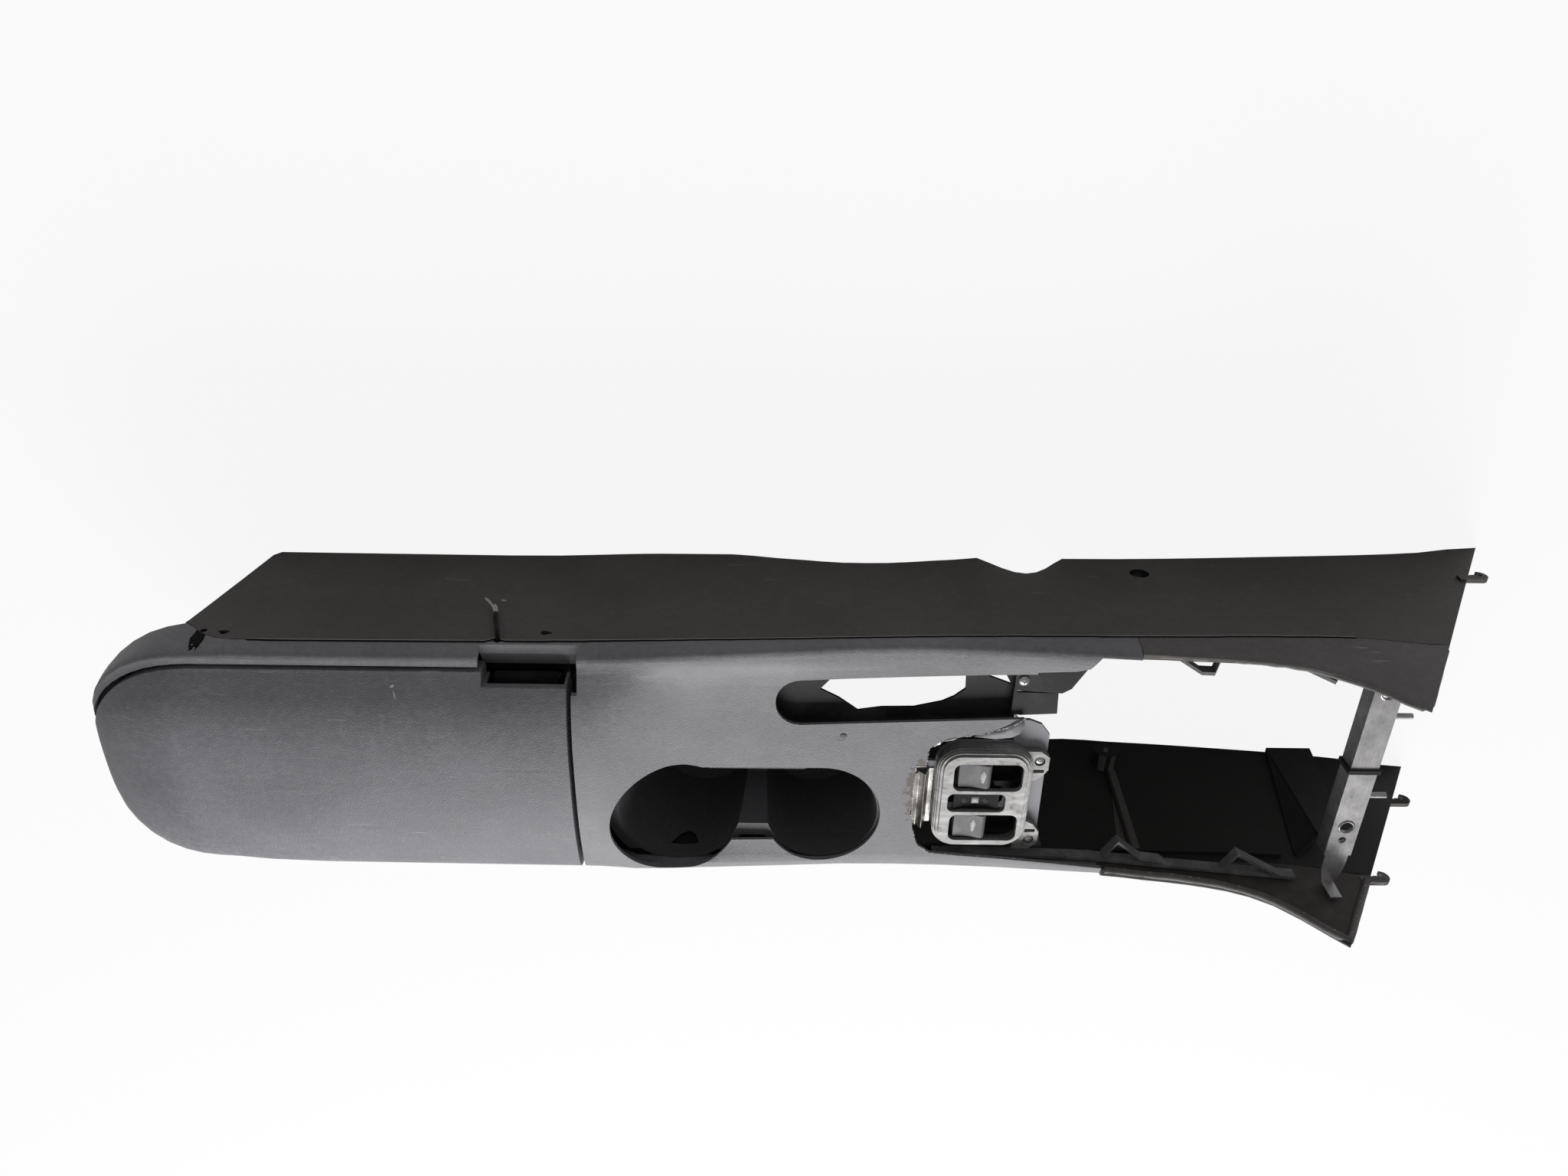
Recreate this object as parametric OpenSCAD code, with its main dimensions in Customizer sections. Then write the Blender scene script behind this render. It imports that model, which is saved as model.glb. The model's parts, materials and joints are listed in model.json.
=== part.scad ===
// Centre console of a car: a long moulded shell with an armrest lid over a bin, two cup wells,
// a parking brake slot, a window switch cluster and an open front with a steel cross bracket.
// +X points to the front of the car, +Y to its left side and +Z up. The walls stand on Z = 0.

/* [Shell] */
// Length of the whole console
body_len = 925; // [910:1:945]
// Wall thickness of the moulded shells
wall = 2.5; // [2:0.1:3]
// Half width of the foot of the walls behind the cup wells
foot_hw_rear = 80.5; // [76:0.5:83]
// Half width of the foot of the walls along the middle
foot_hw_mid = 83.5; // [80:0.5:87]
// Half width at the front edge of the console
toe_hw = 97.5; // [93:0.5:104]
// Half width at the seam under the armrest
seam_hw_rear = 85.5; // [84:0.5:88]
// Half width at the seam along the deck
seam_hw_mid = 88.5; // [87:0.5:91]
// Half width at the raised front tips
tip_hw = 93; // [91:0.5:96]
// Height of the seam between side panel and top trim at the rear
seam_z_rear = 122.5; // [120:0.5:125]
// Height of that seam along the deck and the front
seam_z_mid = 116; // [113:0.5:119]
// Gap left at every seam between fixed panels
seam_gap = 0.3; // [0.2:0.05:0.5]

/* [Deck] */
// Height of the deck surface
deck_z = 127.5; // [125:0.5:131]
// Height of the front tips
tip_z = 194; // [185:1:204]
// Length of the front side trims along the seam
front_trim_len = 269; // [255:1:280]
// Setback of the front tips behind the front edge at the floor
tip_setback = 124; // [110:1:135]

/* [Armrest] */
// Length of the lid
lid_len = 308; // [295:1:320]
// Height of the lid's top
lid_top_z = 151; // [147:0.5:158]
// Height of the rim beside the lid
rim_z = 134.5; // [131:0.5:137]
// Height of the parting line at the back and the hinge side
parting_z = 117; // [116:0.5:118]
// Running gap round the lid
lid_gap = 3; // [2.5:0.1:3.6]
// Half width of the lid's flatter top
crown_hw = 38; // [30:1:44]
// Distance of the lid's latch side edge from the middle
lid_edge_y = 71; // [68:0.5:73]
// Radius of the lid's rear corner in plan
lid_corner_r = 80; // [70:1:90]
// Overhang of the tail behind the side panels
tail_len = 68; // [58:1:74]

/* [Lid hinge] */
// Length of the hinge
hinge_len = 160; // [140:2:200]
// Radius of a knuckle
knuckle_r = 3.2; // [2.8:0.1:3.3]
// Radius of the hinge pin
hinge_pin_r = 1.4; // [1:0.1:1.6]
// Number of knuckles, an odd number
knuckles = 5; // [3:2:7]
// Thickness of the leaves
leaf_t = 1.5; // [1:0.1:1.8]

/* [Latch] */
// Length of the notch and pocket for the fingers
notch_len = 53; // [46:1:58]
// Depth of the notch into the lid
notch_depth = 8.5; // [7:0.5:10]
// Width of the latch paddle
paddle_w = 39; // [34:1:40]
// Radius of the latch pin
latch_pin_r = 1.2; // [1:0.1:1.4]
// Length of the hook under the latch pin
hook_drop = 22; // [20:0.5:23]

/* [Cup wells] */
// Radius of the rear well at the deck
cup1_r = 42; // [40:0.5:43]
// Radius of the front well at the deck
cup2_r = 38.3; // [36:0.1:40]
// Radius of the wells at their floor
cup_floor_r = 33; // [30:0.5:34]
// Depth of the wells
cup_depth = 79; // [60:1:88]
// Distance of the rear well's middle from the lid
cup1_setback = 62; // [58:1:65]
// Distance between the wells at the deck
cup_pitch = 96; // [93:0.5:99]
// Distance between the wells at their floors
cup_floor_pitch = 77; // [74:0.5:80]
// Offset of the wells to the right side
cup_y = 43; // [41:0.5:44]
// Wall of the cup insert
cup_wall = 1.8; // [1.5:0.1:2.2]

/* [Brake slot] */
// Length of the slot up to the broken bridge
slot_len = 163; // [145:1:170]
// Width of the slot
slot_w = 34; // [30:0.5:36]
// Offset of the slot's middle to the left side
slot_y = 49.5; // [48:0.5:51]
// Slant of the slot across its length
slot_slant = 7; // [4:0.5:8]

/* [Window switch] */
// Length of the switch bezel along the car
bezel_len = 63; // [61:0.5:66]
// Width of the switch bezel
bezel_w = 80; // [78:0.5:83]
// Height of the bezel's rim
bezel_h = 11; // [9:0.5:13]
// Width of a window rocker across the car
rocker_w = 19; // [17:0.5:19.5]
// Length of a window rocker
rocker_len = 24; // [21:0.5:26]

/* [Front bracket] */
// Width of the bracket's web
bracket_w = 18; // [15:0.5:21]
// Depth of its flange
bracket_flange = 13; // [10:0.5:16]
// Height of the web above the floor
bracket_z = 140; // [134:0.5:144]
// Sheet thickness of the bracket
bracket_t = 1.6; // [1.2:0.1:2]
// Radius of the bracket's bolt hole
bracket_hole_r = 4; // [3:0.1:4.5]

/* [Fixings] */
// Radius of the bore in the side screw bosses
boss_bore_r = 3.2; // [2.6:0.1:3.8]
// Radius of the screw bosses
boss_r = 9; // [7.5:0.5:10]
// Height of the screw bosses above the floor
boss_z = 24; // [18:0.5:26]
// Reach of the front hooks
hook_reach = 15; // [12:0.5:18]

/* [Lamp lead] */
// Width of the twin lamp lead
lead_d = 3; // [2.4:0.1:3.6]

/* [Hidden] */
$fn = 48;
eps = 0.01;
clear = 0.3;
plastic_dark = [0.21, 0.20, 0.20];
plastic_grey = [0.50, 0.50, 0.52];
plastic_black = [0.08, 0.08, 0.08];
steel_grey = [0.60, 0.61, 0.63];

// Stations along the car, worked out from the driving lengths
x_rear = -body_len / 2;
x_front = body_len / 2;
x_back = x_rear + tail_len;
x_lid = x_rear + lid_len;
x_cross = x_front - front_trim_len;
x_tip = x_front - tip_setback;
x_cup1 = x_lid + cup1_setback;
x_cup2 = x_cup1 + cup_pitch;
x_deck = x_cup1;
x_slot = x_cup2 - 32;
x_switch = x_cross - 85;
front_slope = tip_setback / tip_z;

// A smooth curve through a table of [position, value] rows
function row_of(x, t, i = 0) = i >= len(t) - 2 || x < t[i + 1][0] ? i : row_of(x, t, i + 1);
function slope_at(t, i) = i <= 0 || i >= len(t) - 1 ? 0 :
    (t[i + 1][1] - t[i - 1][1]) / (t[i + 1][0] - t[i - 1][0]);
function hermite(a, b, ma, mb, s) =
    a * (2 * s * s * s - 3 * s * s + 1) + ma * (s * s * s - 2 * s * s + s)
    + b * (3 * s * s - 2 * s * s * s) + mb * (s * s * s - s * s);
function along(x, t) = x <= t[0][0] ? t[0][1] : x >= t[len(t) - 1][0] ? t[len(t) - 1][1] :
    let (i = row_of(x, t), d = t[i + 1][0] - t[i][0])
    hermite(t[i][1], t[i + 1][1], slope_at(t, i) * d, slope_at(t, i + 1) * d, (x - t[i][0]) / d);

// Heights and half widths along the car
tail_under_z = 104;
seam_front_rise = 10;
function seam_z(x) = along(x, [[x_back, tail_under_z], [x_back + 14, seam_z_rear - 6],
    [x_back + 34, seam_z_rear], [x_lid - 40, seam_z_rear + 0.5], [x_cup2 - 30, seam_z_mid + 3],
    [x_cup2 + 80, seam_z_mid - 0.5], [x_cross, seam_z_mid], [x_tip - 12, seam_z_mid + 1],
    [x_tip + 42, seam_z_mid + seam_front_rise]]);
function seam_hw(x) = along(x, [[x_back, seam_hw_rear - 1], [x_lid - 60, seam_hw_rear],
    [x_cup2, seam_hw_mid - 0.5], [x_cross, (seam_hw_mid + tip_hw) / 2], [x_tip, tip_hw],
    [x_front - 40, (tip_hw + toe_hw) / 2], [x_front, toe_hw]]);
function foot_hw(x) = along(x, [[x_back, foot_hw_rear], [x_lid - 40, foot_hw_rear],
    [x_lid + 50, foot_hw_mid], [x_cross, foot_hw_mid + 0.5], [x_tip, tip_hw - 4.5],
    [x_front - 45, (tip_hw + toe_hw) / 2 - 3], [x_front, toe_hw]]);
// The right panel stays below the lid's skirt
skirt_drop = 8;
function right_seam_z(x) = min(seam_z(x), along(x, [[x_lid + 2, parting_z - skirt_drop], [x_deck, seam_z_rear + 10]]));
// Half width of the outer face of a side panel at a height
function side_hw(x, z, right = false) = let (f = foot_hw(x) - (right ? right_foot_in(x) : 0))
    f + (seam_hw(x) - f) * z / seam_z(x);
// The right wall leans in more at its foot ahead of the cup wells
function right_foot_in(x) = along(x, [[x_cup2, 0], [x_cross - 3, 9.5], [x_cross + 37, 8],
    [x_cross + 80, 7], [x_tip + 12, 4.5], [x_front, 0]]);
function shoulder_z(x) = along(x, [[x_back, rim_z], [x_lid, rim_z], [x_lid + 45, rim_z + 2],
    [x_cup2 - 40, deck_z + 5], [x_cup2 + 20, deck_z], [x_cup2 + 85, deck_z],
    [x_cross - 40, deck_z + 3.5], [x_cross, deck_z + 6.5]]);
function top_z(x) = along(x, [[x_lid - 30, lid_top_z], [x_lid, lid_top_z],
    [x_lid + 30, deck_z + 15], [x_deck, deck_z + 3], [x_deck + 30, deck_z], [x_cross, deck_z]]);
function crown_y(x) = along(x, [[x_lid, crown_hw], [x_deck, crown_hw + 24], [x_cross, crown_hw + 26]]);
function inner_rim_y(x) = along(x, [[x_lid, lid_edge_y + 2], [x_deck, lid_edge_y + 4],
    [x_cross, lid_edge_y + 5]]);
function rim_y(x) = along(x, [[x_lid, 81], [x_deck, seam_hw_mid - 2], [x_cross, seam_hw(x_cross) - 1.5]]);
function front_top_z(x) = along(x, [[x_cross, deck_z + 6.5], [x_cross + 26, deck_z + 9.5],
    [x_cross + 56, deck_z + 13], [x_cross + 88, deck_z + 20], [x_cross + 112, tip_z - 34],
    [x_tip - 12, tip_z - 13], [x_tip, tip_z], [x_tip + 40, tip_z + 30]]);

// A section's corners [y, z, radius] are rounded with the same number of points at every station
arc_steps = 4;
edge_r = 0.4;
function unit2(v) = v / max(norm(v), 0.001);
function round_corner(a, b, c, r) =
    let (ra = min(r, norm(a - b) * 0.48), rc = min(r, norm(c - b) * 0.48),
         p = b + unit2(a - b) * ra, q = b + unit2(c - b) * rc)
    [for (k = [0 : arc_steps]) let (s = k / arc_steps)
        p * (1 - s) * (1 - s) + b * 2 * s * (1 - s) + q * s * s];
function flat2(p) = [p[0], p[1]];
function rounded(cs) = let (n = len(cs)) [for (i = [0 : n - 1])
    each round_corner(flat2(cs[(i + n - 1) % n]), flat2(cs[i]), flat2(cs[(i + 1) % n]), cs[i][2])];

// A closed body skinned over sections that stand across the car
module skin(xs, sections) {
    n = len(sections[0]);
    m = len(sections);
    polyhedron(
        points = [for (i = [0 : m - 1]) for (p = sections[i]) [xs[i], p[0], p[1]]],
        faces = concat(
            [[for (j = [0 : n - 1]) j]],
            [[for (j = [n - 1 : -1 : 0]) (m - 1) * n + j]],
            [for (i = [0 : m - 2]) for (j = [0 : n - 1])
                [i * n + j, (i + 1) * n + j, (i + 1) * n + (j + 1) % n]],
            [for (i = [0 : m - 2]) for (j = [0 : n - 1])
                [i * n + j, (i + 1) * n + (j + 1) % n, i * n + (j + 1) % n]]));
}

// The tail draws in towards the rear end like a rounded nose
tail_left_power = 1.8;
tail_right_power = 2.3;
tail_top_power = 1.8;
function tail_t(x) = min(1, max(0, (x_back - x) / tail_len));
function nose(x, n) = pow(max(0, 1 - pow(tail_t(x), n)), 1 / n);
tail_tip_z = 111;
end_width = 0.22;
function left_of(x) = end_width + (1 - end_width) * nose(x, tail_left_power);
function right_of(x) = end_width + (1 - end_width) * nose(x, tail_right_power);
function drop_of(x) = 0.06 + 0.94 * nose(x, tail_top_power);
// The right shoulder draws in a little towards the rear
function right_in(x) = along(x, [[x_back, 5], [x_back + 34, 1.6], [x_back + 60, 0]]);
function under_z(x) = tail_under_z + (tail_tip_z - tail_under_z) * pow(tail_t(x), 2);
function tail_z(x, z) = under_z(x) + (z - tail_under_z) * drop_of(x) * (1 - tail_t(x) * 0.12);

// Outer section of trim and lid, from the left seam over the top to the right seam
function outer_corners(x) = x < x_back ?
    [[seam_hw(x_back) * left_of(x), under_z(x), 3], [rim_y(x) * left_of(x), tail_z(x, rim_z), 8],
     [inner_rim_y(x) * left_of(x), tail_z(x, rim_z), 5],
     [crown_hw * left_of(x), tail_z(x, lid_top_z), 30],
     [-crown_hw * right_of(x), tail_z(x, lid_top_z), 30],
     [-(seam_hw(x_back) - right_in(x)) * right_of(x), tail_z(x, rim_z + 3.5), 16],
     [-seam_hw(x_back) * right_of(x), under_z(x), 3]] :
    [[seam_hw(x), seam_z(x) + seam_gap, edge_r], [rim_y(x), shoulder_z(x), 8],
     [inner_rim_y(x), shoulder_z(x), 5],
     [crown_y(x), top_z(x), 30], [-crown_y(x), top_z(x), 30],
     [-seam_hw(x) + 0.5 + right_in(x), shoulder_z(x) + 3 * (1 - min(1, max(0, (x - x_lid) / 100))), 14],
     [-seam_hw(x), right_seam_z(x) + seam_gap, edge_r]];
// The inner face is the outer one moved in by the wall, and open below ahead of the tail
function inward(v, w) = v > 0 ? max(1, v - w) : min(-1, v + w);
function inner_corners(x, t) = let (xo = x < x_back ? x - t * tail_t(x) : x, c = outer_corners(xo))
    [for (i = [0 : 6]) let (low = i == 0 || i == 6)
        [inward(c[i][0], t), low ? (x < x_back + 2 ? under_z(x) + t : right_seam_z(x) - 8)
            : c[i][1] - t, max(edge_r, c[i][2] - t)]];

tail_xs = [for (a = [90 : -10 : 10]) x_back - tail_len * sin(a)];
inner_tail_xs = [for (a = [68 : -11 : 13]) x_back - tail_len * sin(a)];
arm_xs = [x_back, x_back + 7, x_back + 14, x_back + 24, x_back + 34, x_back + 70, x_lid - 60, x_lid - 25];
deck_xs = [for (k = [0 : 9]) x_lid + k * (x_deck + 40 - x_lid) / 9];
strip_xs = [for (k = [1 : 7]) x_deck + 40 + k * (x_cross - x_deck - 40) / 7];
outer_xs = concat(tail_xs, arm_xs, deck_xs, strip_xs, [x_cross + 3]);
inner_xs = concat(inner_tail_xs, [x_back, x_back + 3], [for (x = arm_xs) if (x > x_back + 4) x],
    deck_xs, strip_xs, [x_cross + 9]);
module outer_form() skin(outer_xs, [for (x = outer_xs) rounded(outer_corners(x))]);
module inner_form(t = wall) skin(inner_xs, [for (x = inner_xs) rounded(inner_corners(x, t))]);

// Plan of the lid, with the finger notch at its front left corner
function arc(cx, cy, r, a0, a1, n) = [for (k = [0 : n]) let (a = a0 + (a1 - a0) * k / n)
    [cx + r * cos(a), cy + r * sin(a)]];
module lid_plan(grow) {
    e = lid_edge_y + grow;
    r = lid_corner_r + grow;
    xc = x_rear + lid_corner_r - 2;
    polygon(concat(
        [[x_lid - lid_gap / 2 + grow, -120], [x_lid - lid_gap / 2 + grow, e - notch_depth],
         [x_lid - notch_len + grow, e - notch_depth], [x_lid - notch_len + grow, e]],
        arc(xc, e - r, r, 90, 180, 14), [[xc - r, -120]]));
}
module lid_zone(grow, z0) translate([0, 0, z0]) linear_extrude(120) lid_plan(grow);

// Plan of the hole for shifter and switch, with the torn edge round the switch
strip_in = seam_hw_mid - 4;
module shifter_plan() {
    xs = x_switch;
    polygon([[x_cross + 20, strip_in], [xs + 61, strip_in], [xs + 55, strip_in - 8.5],
        [xs + 47, slot_y + slot_w / 2 + 7], [xs + 24, slot_y + slot_w / 2 + 5],
        [xs + 20, slot_y - slot_w / 2 + slot_slant - 4],
        [xs + 14, slot_y - slot_w / 2 - 2], [xs + 2, slot_y - slot_w / 2 - 7],
        [xs - 17, slot_y - slot_w / 2 - 11], [xs - 33, slot_y - slot_w / 2 - 16],
        [xs - 39, slot_y - slot_w / 2 - 22], [xs - 39, -3], [xs - 45.5, -3.5], [xs - 46.5, -25],
        [xs - 47, -42], [xs - 43.5, -59], [xs - 40.5, -68], [xs - 31.5, -75], [xs - 10.5, -77],
        [xs + 31.5, -79.6], [x_cross + 20, -strip_in]]);
}
module slot_plan(grow) {
    r = slot_w / 2 + grow;
    y0 = slot_y - slot_slant / 2;
    y1 = slot_y + slot_slant / 2;
    polygon(concat(
        arc(x_slot + 16, y0 + r - 16, 16, 90, 180, 6), arc(x_slot + 16, y0 - r + 16, 16, 180, 270, 6),
        [[x_slot + slot_len, y1 - r], [x_slot + slot_len, y1 + r]]));
}
module cup_plan(grow) {
    translate([x_cup1, -cup_y]) circle(cup1_r + grow);
    translate([x_cup2, -cup_y]) circle(cup2_r + grow);
    translate([x_cup1, -cup_y]) square([cup_pitch, cup2_r + grow]);
    translate([x_cup1, -cup_y - cup2_r * 0.55]) square([cup_pitch, cup2_r]);
}

pocket_floor_z = 125.5;
module finger_pocket_cut()
    translate([x_lid - notch_len - 2, lid_edge_y - notch_depth - 4, pocket_floor_z])
        cube([notch_len + 7, 40, 60]);
module finger_pocket_floor()
    translate([x_lid - notch_len - 2, 0, 0]) rotate([90, 0, 90]) linear_extrude(notch_len + 7)
        polygon([[84.5, pocket_floor_z - 2], [84.2, pocket_floor_z], [79, pocket_floor_z],
            [72, pocket_floor_z - 4], [66, pocket_floor_z - 8.5], [66, pocket_floor_z - 11],
            [73, pocket_floor_z - 7], [80, pocket_floor_z - 2.6]]);
hinge_x0 = x_lid - 30 - hinge_len;
hinge_y = -seam_hw_rear + 1.5;
hinge_z = parting_z - 0.8;
module hinge_zone(z0, z1)
    translate([hinge_x0 - 1, hinge_y - 8, z0]) cube([hinge_len + 2, 12, z1 - z0]);
spot_x = x_cup2 + 10;
spot_y = 20.7;

module upper_trim() color(plastic_grey) {
    difference() {
        outer_form();
        inner_form();
        lid_zone(lid_gap, parting_z - lid_gap - 0.1);
        hinge_zone(hinge_z - knuckle_r - clear, 140);
        finger_pocket_cut();
        translate([0, 0, deck_z - 30]) linear_extrude(80) cup_plan(0);
        translate([0, 0, deck_z - 30]) linear_extrude(80) slot_plan(0);
        translate([0, 0, deck_z - 14]) linear_extrude(60) shifter_plan();
        translate([spot_x, spot_y, deck_z - 10]) cylinder(h = 40, r = 3.4);
        lead_exit();
        translate([x_cross, -150, 0]) cube([50, 300, 300]);
    }
    finger_pocket_floor();
    translate([spot_x, spot_y, deck_z - 5]) cylinder(h = 4.5, r = 3.9);
}
lead_x = x_lid - 44;
module lead_exit()
    translate([lead_x, seam_hw(lead_x) - 4, seam_z(lead_x) - 1.5]) rotate([-90, 0, 0]) cylinder(h = 12, r = 2.6);

module armrest_lid() color(plastic_grey) difference() {
    intersection() {
        outer_form();
        lid_zone(0, parting_z);
    }
    intersection() {
        inner_form();
        lid_zone(-wall, parting_z - 1);
    }
    hinge_zone(parting_z - 5, hinge_z + knuckle_r + clear);
    translate([x_lid - notch_len + 2, lid_edge_y - notch_depth - wall - 2, parting_z - 1])
        cube([notch_len - 5.5, wall + 4, paddle_room_z - parting_z + 1]);
}
paddle_room_z = rim_z;

// Side panels: a slanting plate cut to the console's side view
panel_xs = concat([x_back - 4], arm_xs, deck_xs, strip_xs, [for (k = [1 : 11]) x_cross + k * 17],
    [x_front - 60, x_front - 40, x_front - 20, x_front + 4]);
rear_run = 20;
module panel_plate(right) skin(panel_xs, [for (x = panel_xs) let (z = right ? right_seam_z(x) : seam_z(x))
    [[side_hw(x, 0, right), 0], [side_hw(x, z, right), z], [side_hw(x, z, right) - wall, z],
        [side_hw(x, 0, right) - wall, 0]]]);
lift_h = 11.2;
notch_h = 25;
lift_x0 = x_slot - 31;
notch_x0 = x_slot + 141;
notch_w = 60;
function lift_z(x) = lift_h * along(x - lift_x0, [[0, 0], [29, 0.43], [51, 0.7], [73, 0.97], [94, 1],
    [116, 0.87], [137, 0.55], [159, 0.25], [172, 0]]);
function notch_z(x) = notch_h * pow(max(0, sin(180 * (x - notch_x0) / notch_w)), 1.2);
module side_view() rotate([90, 0, 0]) translate([0, 0, -200]) linear_extrude(400)
    polygon(concat(
        [[x_back + rear_run, 0], [x_back + rear_run - 4, 5]],
        [[x_back, 100], [x_back - 10, 140], [x_front - 150 * front_slope, 150]],
        [[x_front - 4 * front_slope, 4], [x_front, 0]],
        [for (k = [8 : -1 : 0]) let (x = notch_x0 + k * notch_w / 8) [x, notch_z(x)]],
        [for (k = [11 : -1 : 0]) let (x = lift_x0 + k * (notch_x0 - 1 - lift_x0) / 11) [x, lift_z(x)]]));
boss_x = x_cross + 27;
boss_len = 14;
module boss_solid(right)
    translate([boss_x, side_hw(boss_x, boss_z, right) - wall / 2, boss_z]) rotate([90, 0, 0]) cylinder(h = boss_len, r = boss_r);
module boss_holes(right) translate([boss_x, side_hw(boss_x, boss_z, right) + 4, boss_z]) rotate([90, 0, 0]) {
    cylinder(h = boss_len + 12, r = boss_bore_r);
    cylinder(h = boss_len, r = boss_r - 2.4);
}
module boss_rib(right) skin([boss_x - 1, boss_x + 1], [for (x = [boss_x - 1, boss_x + 1])
    [for (c = [[1, rib_low], [1, rib_top], [4, rib_top], [4, rib_low]])
        [side_hw(x, c[1], right) - wall - c[0] + 1.5, c[1]]]]);
rib_low = boss_z + boss_r - 1;
rib_top = seam_z_mid - 8;
// Top flange of a panel, that the trim is clipped to
module panel_flange() intersection() {
    skin(panel_xs, [for (x = panel_xs) let (w = seam_hw(x) - wall, z = seam_z(x))
        [[w + 1, z - 7], [w + 1, z - 5], [w - 3.5, z - 5], [w - 3.5, z - 7]]]);
    translate([x_cup2 + 44, 0, 0]) cube([x_tip - 14 - x_cup2 - 44, 200, 200]);
}
module front_hook(x, y, z) translate([x, y, z]) rotate([90, 0, 0]) linear_extrude(3) {
    translate([-6, -3]) square([hook_reach - 1, 6]);
    difference() {
        translate([hook_reach - 6, -2.5]) circle(5.5);
        translate([hook_reach - 6, -3.5]) circle(2.2);
        translate([hook_reach - 14, -11.5]) square([8, 8]);
    }
}
left_hook_z = 42;
right_hook_z = 46;
tip_hook_z = 131;
function edge_x(z) = x_front - z * front_slope;
module side_body(right) difference() {
    union() {
        intersection() {
            panel_plate(right);
            side_view();
        }
        boss_solid(right);
        boss_rib(right);
        panel_flange();
    }
    boss_holes(right);
}
module left_side_panel() color(plastic_dark) {
    difference() {
        side_body(false);
        translate([x_back + 14, 0, 113]) rotate([-90, 0, 0]) cylinder(h = 200, r = 2.1);
        translate([x_back + 27, 0, 115]) rotate([-90, 0, 0]) cylinder(h = 200, r = 1.9);
        translate([x_lid - 17, 0, 112.5]) rotate([-90, 0, 0]) cylinder(h = 200, r = 2.2);
        lead_exit();
    }
    front_hook(edge_x(left_hook_z), side_hw(edge_x(left_hook_z), left_hook_z) + 1, left_hook_z);
}
module right_side_panel() color(plastic_dark) mirror([0, 1, 0]) {
    side_body(true);
    front_hook(edge_x(right_hook_z), side_hw(edge_x(right_hook_z), right_hook_z), right_hook_z);
}

rear_t = 2.4;
rear_top = tail_under_z - clear;
module rear_panel() color(plastic_dark) intersection() {
    rotate([90, 0, 0]) linear_extrude(400, center = true)
        polygon([[x_back, rear_top], [x_back + rear_t, rear_top], [x_back + rear_run + rear_t, 3], [x_back + rear_run, 3]]);
    skin([x_back - 1, x_back + 40], [for (x = [x_back - 1, x_back + 40]) let (a = wall + clear)
        [[side_hw(x, 0) - a, 0], [side_hw(x, 110) - a, 110], [a - side_hw(x, 110), 110], [a - side_hw(x, 0), 0]]]);
}

// Front side trims: a thin rising wall with a lip rolled inwards
lip_w = 5;
front_xs = [for (k = [0 : 14]) x_cross + seam_gap + k * (x_tip + 46 - x_cross) / 14];
function lip_of(x) = max(1, lip_w * (1 - (x - x_cross) / (x_tip - x_cross)));
function front_corners(x) = let (w = seam_hw(x), z = front_top_z(x), s = seam_z(x) + seam_gap,
    l = lip_of(x), d = l * 0.45)
    [[w, s, edge_r], [w - 0.8, z, 7], [w - l - 2, z - d, edge_r], [w - l - 2, z - d - wall, edge_r],
     [w - wall - 1, z - wall - 1, 4], [w - wall, s, edge_r]];
module front_trim_form() intersection() {
    skin(front_xs, [for (x = front_xs) rounded(front_corners(x))]);
    side_cut_front();
}
module side_cut_front() rotate([90, 0, 0]) translate([0, 0, -200]) linear_extrude(400)
    polygon([[x_cross, 60], [x_front - 60 * front_slope, 60], [x_front - 230 * front_slope, 230], [x_cross, 230]]);
module front_trim_left() color(plastic_dark) front_trim_form();
module front_trim_right() color(plastic_dark) mirror([0, 1, 0]) {
    front_trim_form();
    front_hook(edge_x(tip_hook_z), seam_hw(edge_x(tip_hook_z)) - 0.1, tip_hook_z);
}

// Clip rails: a moulded band along each strip, with two clip seats that stand out from it.
// A seat's row holds the run from the cross seam, the reach inwards and the lift of the band.
rail_h = 8;
rail_t = 2.4;
rail_in = 6.7;
rail_end = x_cross + 132;
left_seats = [[[22, 10], [41, 22], [49, 22], [51, 10]], [[91, 10], [121, 23.5], [124, 12]]];
right_seats = [[[3, 6.5], [12, 23], [29, 10.5], [42, 10], [47, 6.5]], [[83, 6.5], [91, 22], [122, 6.5]]];
function rail_z(x) = seam_z(x) + along(x, [[x_cross - 20, -4], [x_cross + 50, 3], [rail_end, 10]]);
module ribbon(xs, ys, h, t, z0 = 0) skin(xs, [for (i = [0 : len(xs) - 1]) let (z = rail_z(xs[i]) + z0)
    [[ys[i] + t, z], [ys[i] + t, z + h], [ys[i], z + h], [ys[i], z]]]);
function rail_run(x0) = concat([for (x = [x0 : 18 : rail_end - 9]) x], [rail_end]);
module rail(x0, seats) {
    xs = rail_run(x0);
    ribbon(xs, [for (x = xs) seam_hw(x) - rail_in], rail_h, rail_t);
    // Ledge that reaches the side wall
    skin(xs, [for (x = xs) let (z = rail_z(x), w = seam_hw(x) - wall - clear - 0.9)
        [[w, z], [w, z + 2], [w - rail_in + 4, z + 2], [w - rail_in + 4, z]]]);
    for (seat = seats) {
        line = concat([[seat[0][0] - 3, rail_in]], seat, [[seat[len(seat) - 1][0] + 2, rail_in]]);
        ribbon([for (p = line) x_cross + p[0]], [for (p = line) seam_hw(x_cross + p[0]) - p[1]],
            rail_h - 0.5, rail_t, 0.25);
    }
}
module left_clip_rail() color(plastic_black) rail(x_cross - 45, left_seats);
module right_clip_rail() color(plastic_black) mirror([0, 1, 0]) rail(x_cross - 113, right_seats);

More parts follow.
